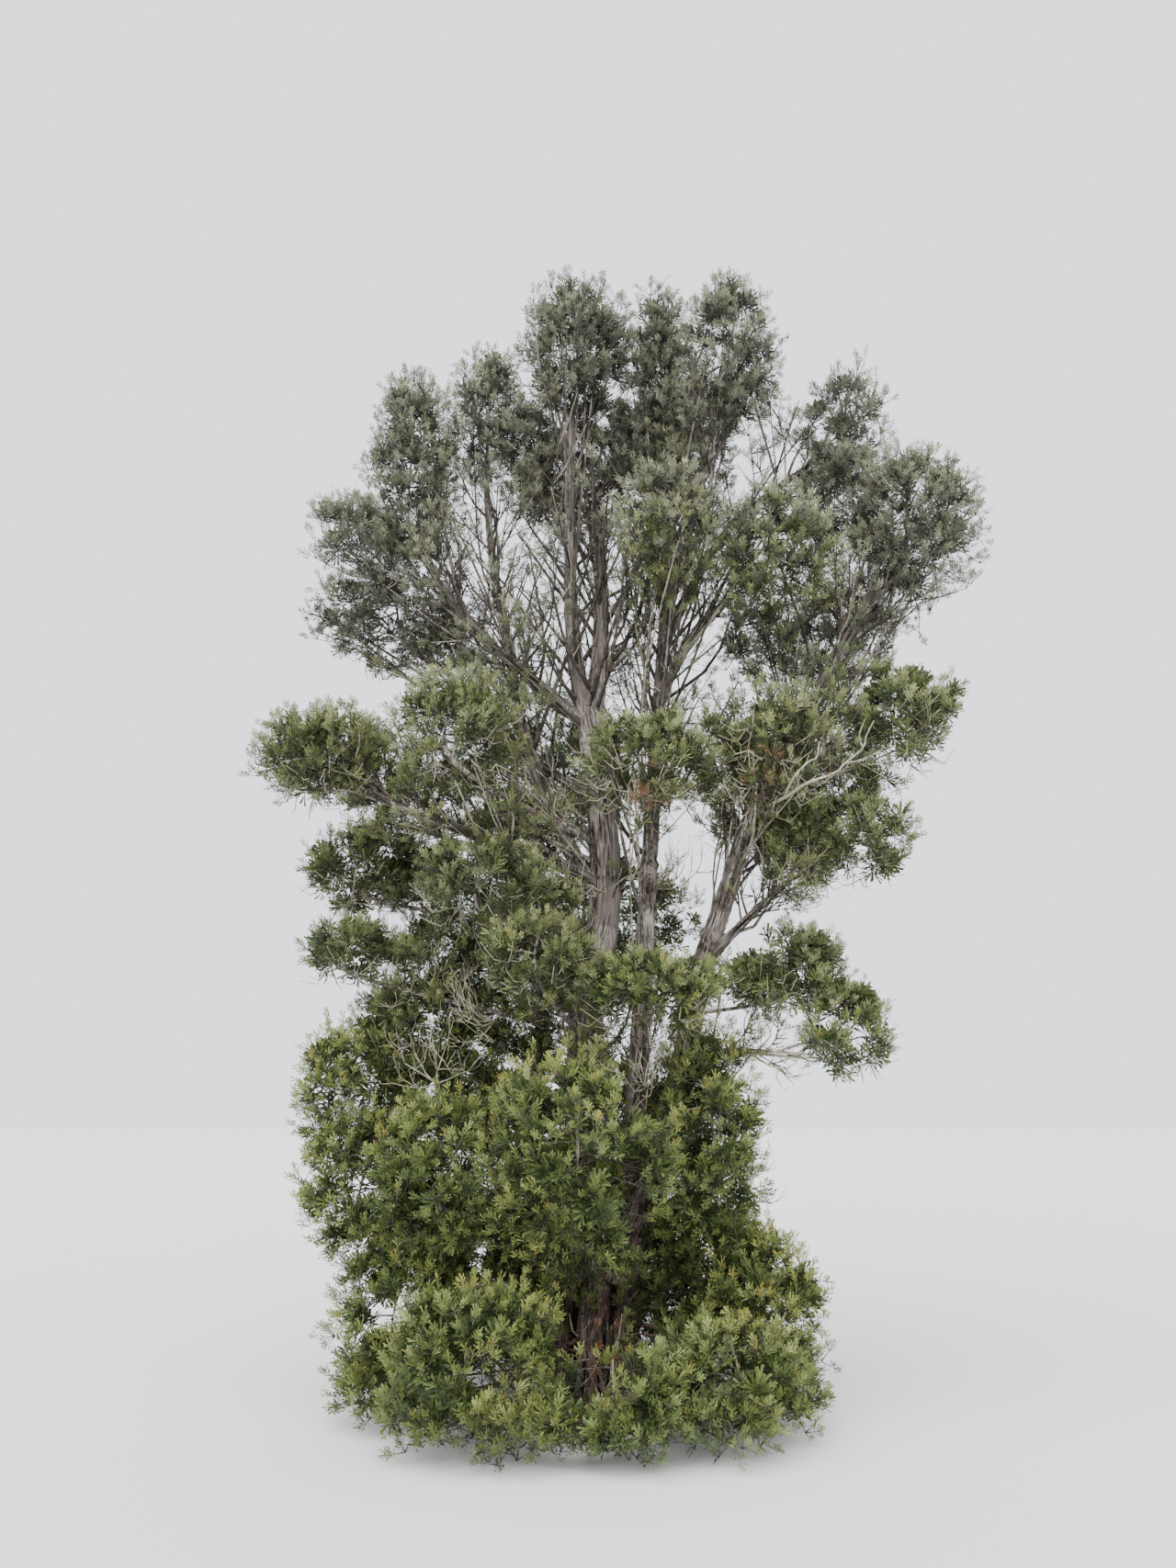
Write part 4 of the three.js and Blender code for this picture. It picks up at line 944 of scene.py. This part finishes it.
def grow_mass(rule, mass):
    """One mass by the rule of its solid: stem, twigs at golden angles, then clusters, sprigs and fronds."""
    add_tubes(rule.twigs, curve_at(mass.stem, np.linspace(0, 1, 13))[None], rule.slim * mass.radius,
              1 - TWIG_STEM_TAPER, 8, 2)
    density = rule.density * mass.density
    count = max(14, round(mass.area() / CLUSTER_AREA * density * (BEHIND if mass.centre[1] > BACK else 1)))
    turn = uniform(0, TURN)
    skin = skin_directions(count, turn, 0.8, low=-0.95 if rule.hem else LOWEST_TIP)
    skin[:, :2] *= 1 + rule.hem * np.clip(-skin[:, 2:3] - 0.05, 0, 1) ** 1.3
    centre, rim = mass.space(np.zeros(3)), mass.space(skin)
    outwards, radius = unit(rim - centre), norm(rim - centre, axis=-1)
    growth = rule.out * outwards
    if rule.hem:
        growth[:, 2] = rule.out * np.maximum(outwards[:, 2], -0.15)
    growth = unit(growth + rule.up * UP)
    leafy = rule.sprig + 0.7 * rule.frond
    bulge = 0.6 * lattice_noise(skin * 2.1 + mass.centre * 3, 11) + 0.4 * uniform(-1, 1, count)
    reach = 1 - leafy * np.maximum((growth * outwards).sum(-1), 0.1) / radius + rule.bulge * (bulge - 0.3)
    deep = uniform(size=count) < rule.open
    reach = np.where(deep, reach * uniform(0.35, 0.85, count), reach)
    nests = mass.space(skin * reach[:, None])
    keep = (uniform(size=count) > rule.gaps) & (nests[:, 2] > 0.015)
    if mass.name in WINDOW:
        keep &= ~inside(nests[:, [0, 2]], *WINDOW[mass.name])
    for low, high in CLEARINGS:
        keep &= ~inside(nests, low, high)
    skin, nests, bulge, growth, outwards = (part[keep] for part in (skin, nests, bulge, growth, outwards))
    mains = max(5, round(len(nests) * MAIN_TWIGS))
    aim = skin_directions(mains, turn + 1.0, 0.5)
    ends = mass.space(aim * uniform(0.42, 0.62, mains)[:, None])
    roots = curve_at(mass.stem, mass.heart_at + (LAST_TWIG - mass.heart_at) * (aim[:, 2] + 1) / 2)
    from_limb = uniform(size=mains) < rule.feeders
    drop = uniform(0.0, rule.drop, mains) / mass.limb.length()
    roots = np.where(from_limb[:, None], mass.limb.at(np.clip(mass.share - drop, 0.03, 1)), roots)
    paths = bowed(roots, ends, rule.lift, RINGS_MAIN, 0.05)
    thick = np.where(from_limb, uniform(0.009, rule.feeder, mains), MAIN_RADIUS)
    pale = uniform(size=mains) < rule.pale
    thick = thick * np.where(pale, 0.7, rule.slim)
    add_tubes(rule.twigs, paths, thick[:, None], 0.5, 3, np.where(pale, 1, np.where(from_limb, 2, 0)))
    parent = norm(nests[:, None] - ends[None], axis=-1).argmin(axis=1)
    fork = paths[parent, integers(3, RINGS_MAIN, len(nests))]
    # Painted light and shade: leaves are brighter on a bulge and towards a mass's top, darker in a hollow and low
    # down.
    tone = MIDDLE_TONE + mass.tone + 0.10 * bulge + 0.10 * skin[:, 2] + 0.09 * normal(size=len(nests))
    bare = skin[:, 2] + 0.25 * normal(size=len(nests)) < rule.shell
    add_clusters(rule, fork[~bare], nests[~bare], growth[~bare], tone[~bare])
    add_bare_twigs(rule, fork[bare], centre + 0.82 * (nests[bare] - centre), outwards[bare])
    grow_along_stem(rule, mass)
    add_inner_sprigs(rule, mass, fork, nests, centre)


def add_inner_sprigs(rule, mass, fork, nests, centre):
    """Broad sprays on the cluster twigs' inner part, painted dark as shade, which close the mass behind its leafy
    skin.
    """
    count = round(len(nests) * rule.inner)
    chosen = integers(0, len(nests), count)
    place = fork[chosen] + uniform(0.0, 0.65, (count, 1)) * (nests[chosen] - fork[chosen])
    aim = unit(unit(place - centre) + [0, 0, 0.5] + 0.8 * normal(size=(count, 3)))
    within = norm(mass.ball(place + 0.13 * aim), axis=1) < rule.within
    place, aim, count = place[within], aim[within], within.sum()
    inner = changed(rule, frond=rule.fill, broad=1.7, fronds=6, bare=0.0, spread=1.35, stalks=False)
    # Painted shade: the inner sprays take only the darker tones.
    tone = uniform(0.14, 0.42, count)
    add_sprigs(inner, place, aim, np.full(count, 0.07), tone, integers(0, 2, count))


def add_bare_twigs(rule, roots, ends, outwards):
    """The underside of a dome: pale leafless twigs, forked, whose tips curl up."""
    count = len(roots)
    if not count:
        return
    paths = bowed(roots, ends, -0.05, RINGS_CLUSTER, 0.08)
    add_tubes(rule.twigs, paths[:, ::2], BARE_RADIUS, 0.6, 3, 1)
    parent = np.repeat(np.arange(count), CURLS)
    foot = paths[parent, integers(1, RINGS_CLUSTER, len(parent))]
    aim = unit(outwards[parent] + 0.8 * normal(size=(len(parent), 3)))
    length = 0.16 * uniform(0.5, 1.3, (len(parent), 1))
    tips = foot + aim * length + 0.35 * UP * length
    keep = in_reach(tips)
    add_tubes(rule.twigs, bowed(foot[keep], tips[keep], -0.22, RINGS_CURL, 0.10), CURL_RADIUS, 0.45, 3, 1)


def grow_along_stem(rule, mass):
    """Twigs on the run of a mass's stem from its limb to its space."""
    path = curve_at(mass.stem, np.linspace(0, mass.heart_at, 30))
    free = norm(np.diff(path, axis=0), axis=1).sum()
    count = round((free - 0.12) / rule.stem_twig_step)
    if count > 1:
        stem = Limb(mass.name, path[::6] * 1000, (1, 1), 0)
        grow_side_twigs(rule, stem, 0.12, 0.9, count, rule.along, rule.leafy)


def grow_side_twigs(rule, limb, low, high, count, length, leafy):
    """Long twigs that leave a limb at golden angles between two shares of it, rise with it and fork."""
    share = low + (high - low) * (np.arange(count) + uniform(0, 1, count)) / count
    roots = limb.at(share)
    onwards = np.minimum(share + 0.01, 1)
    ahead = unit(limb.at(onwards) - limb.at(onwards - 0.01))
    across = unit(np.cross(ahead, [0.2, 0.9, 0.1]))
    bearing = np.arange(count) * GOLDEN_ANGLE + uniform(-0.5, 0.5, count)
    side = turned(across, np.cross(ahead, across), bearing)
    reach = length * (uniform(0.6, 1.3, count) * (1 - 0.35 * share))[:, None]
    aim = unit(0.55 * ahead + 0.75 * side + 0.45 * UP)
    paths = bowed(roots, roots + aim * reach + 0.16 * UP * reach, -0.10, RINGS_MAIN, 0.05)
    thick = np.minimum(0.020 * reach, 0.35 * limb.radius(share)[:, None])
    add_tubes(rule.twigs, paths, thick * uniform(0.7, 1.2, (count, 1)), 0.4, 4)
    chosen = np.repeat(np.arange(count), SIDE_FORKS)
    foot = paths[chosen, integers(2, RINGS_MAIN - 1, len(chosen))]
    turn = unit(aim[chosen] + 0.45 * normal(size=(len(chosen), 3)))
    tips = foot + turn * reach[chosen] * uniform(0.35, 0.6, (len(chosen), 1))
    keep = in_reach(tips)
    foot, turn, tips = foot[keep], turn[keep], tips[keep]
    green = uniform(size=len(foot)) < leafy
    bare = bowed(foot[~green], tips[~green], -0.06, RINGS_CLUSTER, 0.07)
    add_tubes(rule.twigs, bare, BARE_RADIUS, 0.4, 3, (uniform(size=len(bare)) < 0.4).astype(int))
    tone = 0.42 + 0.1 * normal(size=green.sum())
    add_clusters(rule, foot[green], tips[green], unit(turn[green] + [0, 0, 0.5]), tone)


def grow_tangle(heap, start, aim, size, twigs=6):
    """Bare dead twigs: from one point they fork three times, and their tips curl up."""
    roots = np.repeat(np.array([start], float), twigs, axis=0)
    along = unit(np.array([aim], float) + 0.55 * normal(size=(twigs, 3)))
    reach, radius = size * 0.55, BARE_RADIUS
    for level in range(3):
        span = reach * uniform(0.6, 1.2, (len(roots), 1))
        paths = bowed(roots, roots + along * span + 0.25 * level * UP * span, -0.12, RINGS_CLUSTER, 0.10)
        add_tubes(heap, paths, radius, 0.6, 4 if level == 0 else 3)
        parent = np.repeat(np.arange(len(roots)), 3)
        roots = paths[parent, integers(2, RINGS_CLUSTER, len(parent))]
        along = unit(along[parent] + 0.7 * normal(size=(len(parent), 3)) + [0, 0, 0.25])
        reach, radius = reach * 0.62, radius * 0.6


# ---- the tree
def build_limbs():
    strips = {"bark": Heap(), "pale_bark": Heap()}
    for name, limb in LIMBS.items():
        sides = next(sides for radius, sides in SIDES if limb.radii[0] > radius)
        grid = (sides, COLLAR_STEP if name in COLLARS else RING_STEP, RELIEF)
        if name == "trunk":
            grid = TRUNK_GRID
        bark, slot = BARK, "bark"
        if name.startswith("bough") or name == "stem_far_left":
            bark, slot = PALE_BARK if name in BARE_BOUGHS else DARK_BARK, "pale_bark"
        place_piece("bark_" + name, make_limb_mesh(limb, *grid), [bark], [name])
        count = round(STRIPS_PER_METRE * limb.length() * limb.radii.mean())
        add_bark_strips(strips["pale_bark" if name in BARE_BOUGHS else "bark"], limb, count)
    strips["bark"].place("strips_bark", [STRIP], "bark", smooth=False)
    strips["pale_bark"].place("strips_pale_bark", [STRIP_PALE], "pale_bark", smooth=False)


def build_zone(name, rule, slot):
    rule = changed(rule, leaves=Heap(), twigs=Heap())
    shaded = changed(rule, pale=0.0, slim=0.25, stem_twig_step=0.3, feeders=0.0, density=0.85 * rule.density)
    masses = [Mass(row) for row in MASSES[name].split("\n")[1:]]
    for mass in masses + [Mass(row) for row in SHADED[name].split("\n")[1:]]:
        own = changed(rule if mass in masses else shaded, warm=mass.warm)
        grow_mass(changed(own, open=0.6, gaps=0.15) if mass.name in OPEN_MASSES else own, mass)
    for limb, *twigs in SIDE_TWIGS.get(name, ()):
        grow_side_twigs(rule, LIMBS[limb], *twigs)
    rule.leaves.place("leaves_" + name, PALETTE, slot, [mass.name for mass in masses], smooth=False, grain=False)
    rule.twigs.place("twigs_" + name, [TWIG, DEAD, BARK], "bark")


def build_dead_wood():
    dead, rusty = Heap(), changed(LOW, leaves=Heap(), twigs=Heap(), rusty=True)
    for tangle in TANGLES:
        grow_tangle(dead, *tangle)
    for points, foot, tip in BARE_BRANCHES:
        add_tubes(dead, curve_at(points, np.linspace(0, 1, RINGS_BRANCH))[None], foot, tip / foot, 6)
    count = len(RUST_SPRAYS)
    add_sprigs(rusty, RUST_SPRAYS[:, :3], unit(RUST_SPRAYS[:, 3:]), np.full(count, 0.13), np.full(count, 0.5),
               np.zeros(count, int))
    rusty.leaves.place("leaves_rust", PALETTE, "foliage_low", smooth=False, grain=False)
    rusty.twigs.place("twigs_rust", [TWIG], "bark")
    dead.place("twigs_dead", [DEAD], "pale_bark")


# ---- floor, light and camera
FLOOR_HALF = 40                       # in metres, like the camera's place
FLOOR_COLOUR, FLOOR_ROUGHNESS = (0.72, 0.72, 0.70, 1), 0.9
SKY_COLOUR, SKY_STRENGTH = (0.92, 0.95, 1.0, 1), 2.0
SUN_STRENGTH, SUN_SPREAD, SUN_TURN = 4.0, 70, (32, -14, 0)      # the last two in degrees
CAMERA_PLACE, CAMERA_PITCH = (-0.04, -6.6, 1.6), 15             # eye height, and degrees over the horizon
FOCAL_LENGTH, SENSOR_WIDTH = 25.98, 36                          # in millimetres


def build_stage():
    grid = bmesh.new()
    bmesh.ops.create_grid(grid, x_segments=2, y_segments=2, size=FLOOR_HALF)
    mesh = bpy.data.meshes.new("floor")
    grid.to_mesh(mesh)
    grid.free()
    graph = Graph("floor_pale")
    mesh.materials.append(graph.finish(graph.node("ShaderNodeBsdfPrincipled", None, {
        "Base Color": FLOOR_COLOUR, "Roughness": FLOOR_ROUGHNESS})))
    link("floor", mesh)
    world = bpy.data.worlds.new("pale_sky")
    world.use_nodes = True
    background = world.node_tree.nodes["Background"]
    background.inputs["Color"].default_value = SKY_COLOUR
    background.inputs["Strength"].default_value = SKY_STRENGTH
    bpy.context.scene.world = world
    sun = bpy.data.lights.new("soft_sun", "SUN")
    sun.energy = SUN_STRENGTH
    sun.angle = math.radians(SUN_SPREAD)
    link("soft_sun", sun).rotation_euler = [math.radians(angle) for angle in SUN_TURN]
    lens = bpy.data.cameras.new("camera")
    lens.lens = FOCAL_LENGTH
    lens.sensor_width = SENSOR_WIDTH
    camera = link("camera", lens)
    camera.location = CAMERA_PLACE
    camera.rotation_euler = (math.radians(90 + CAMERA_PITCH), 0, 0)
    bpy.context.scene.camera = camera


build_limbs()
for zone in ZONES:
    build_zone(*zone)
build_dead_wood()
build_stage()
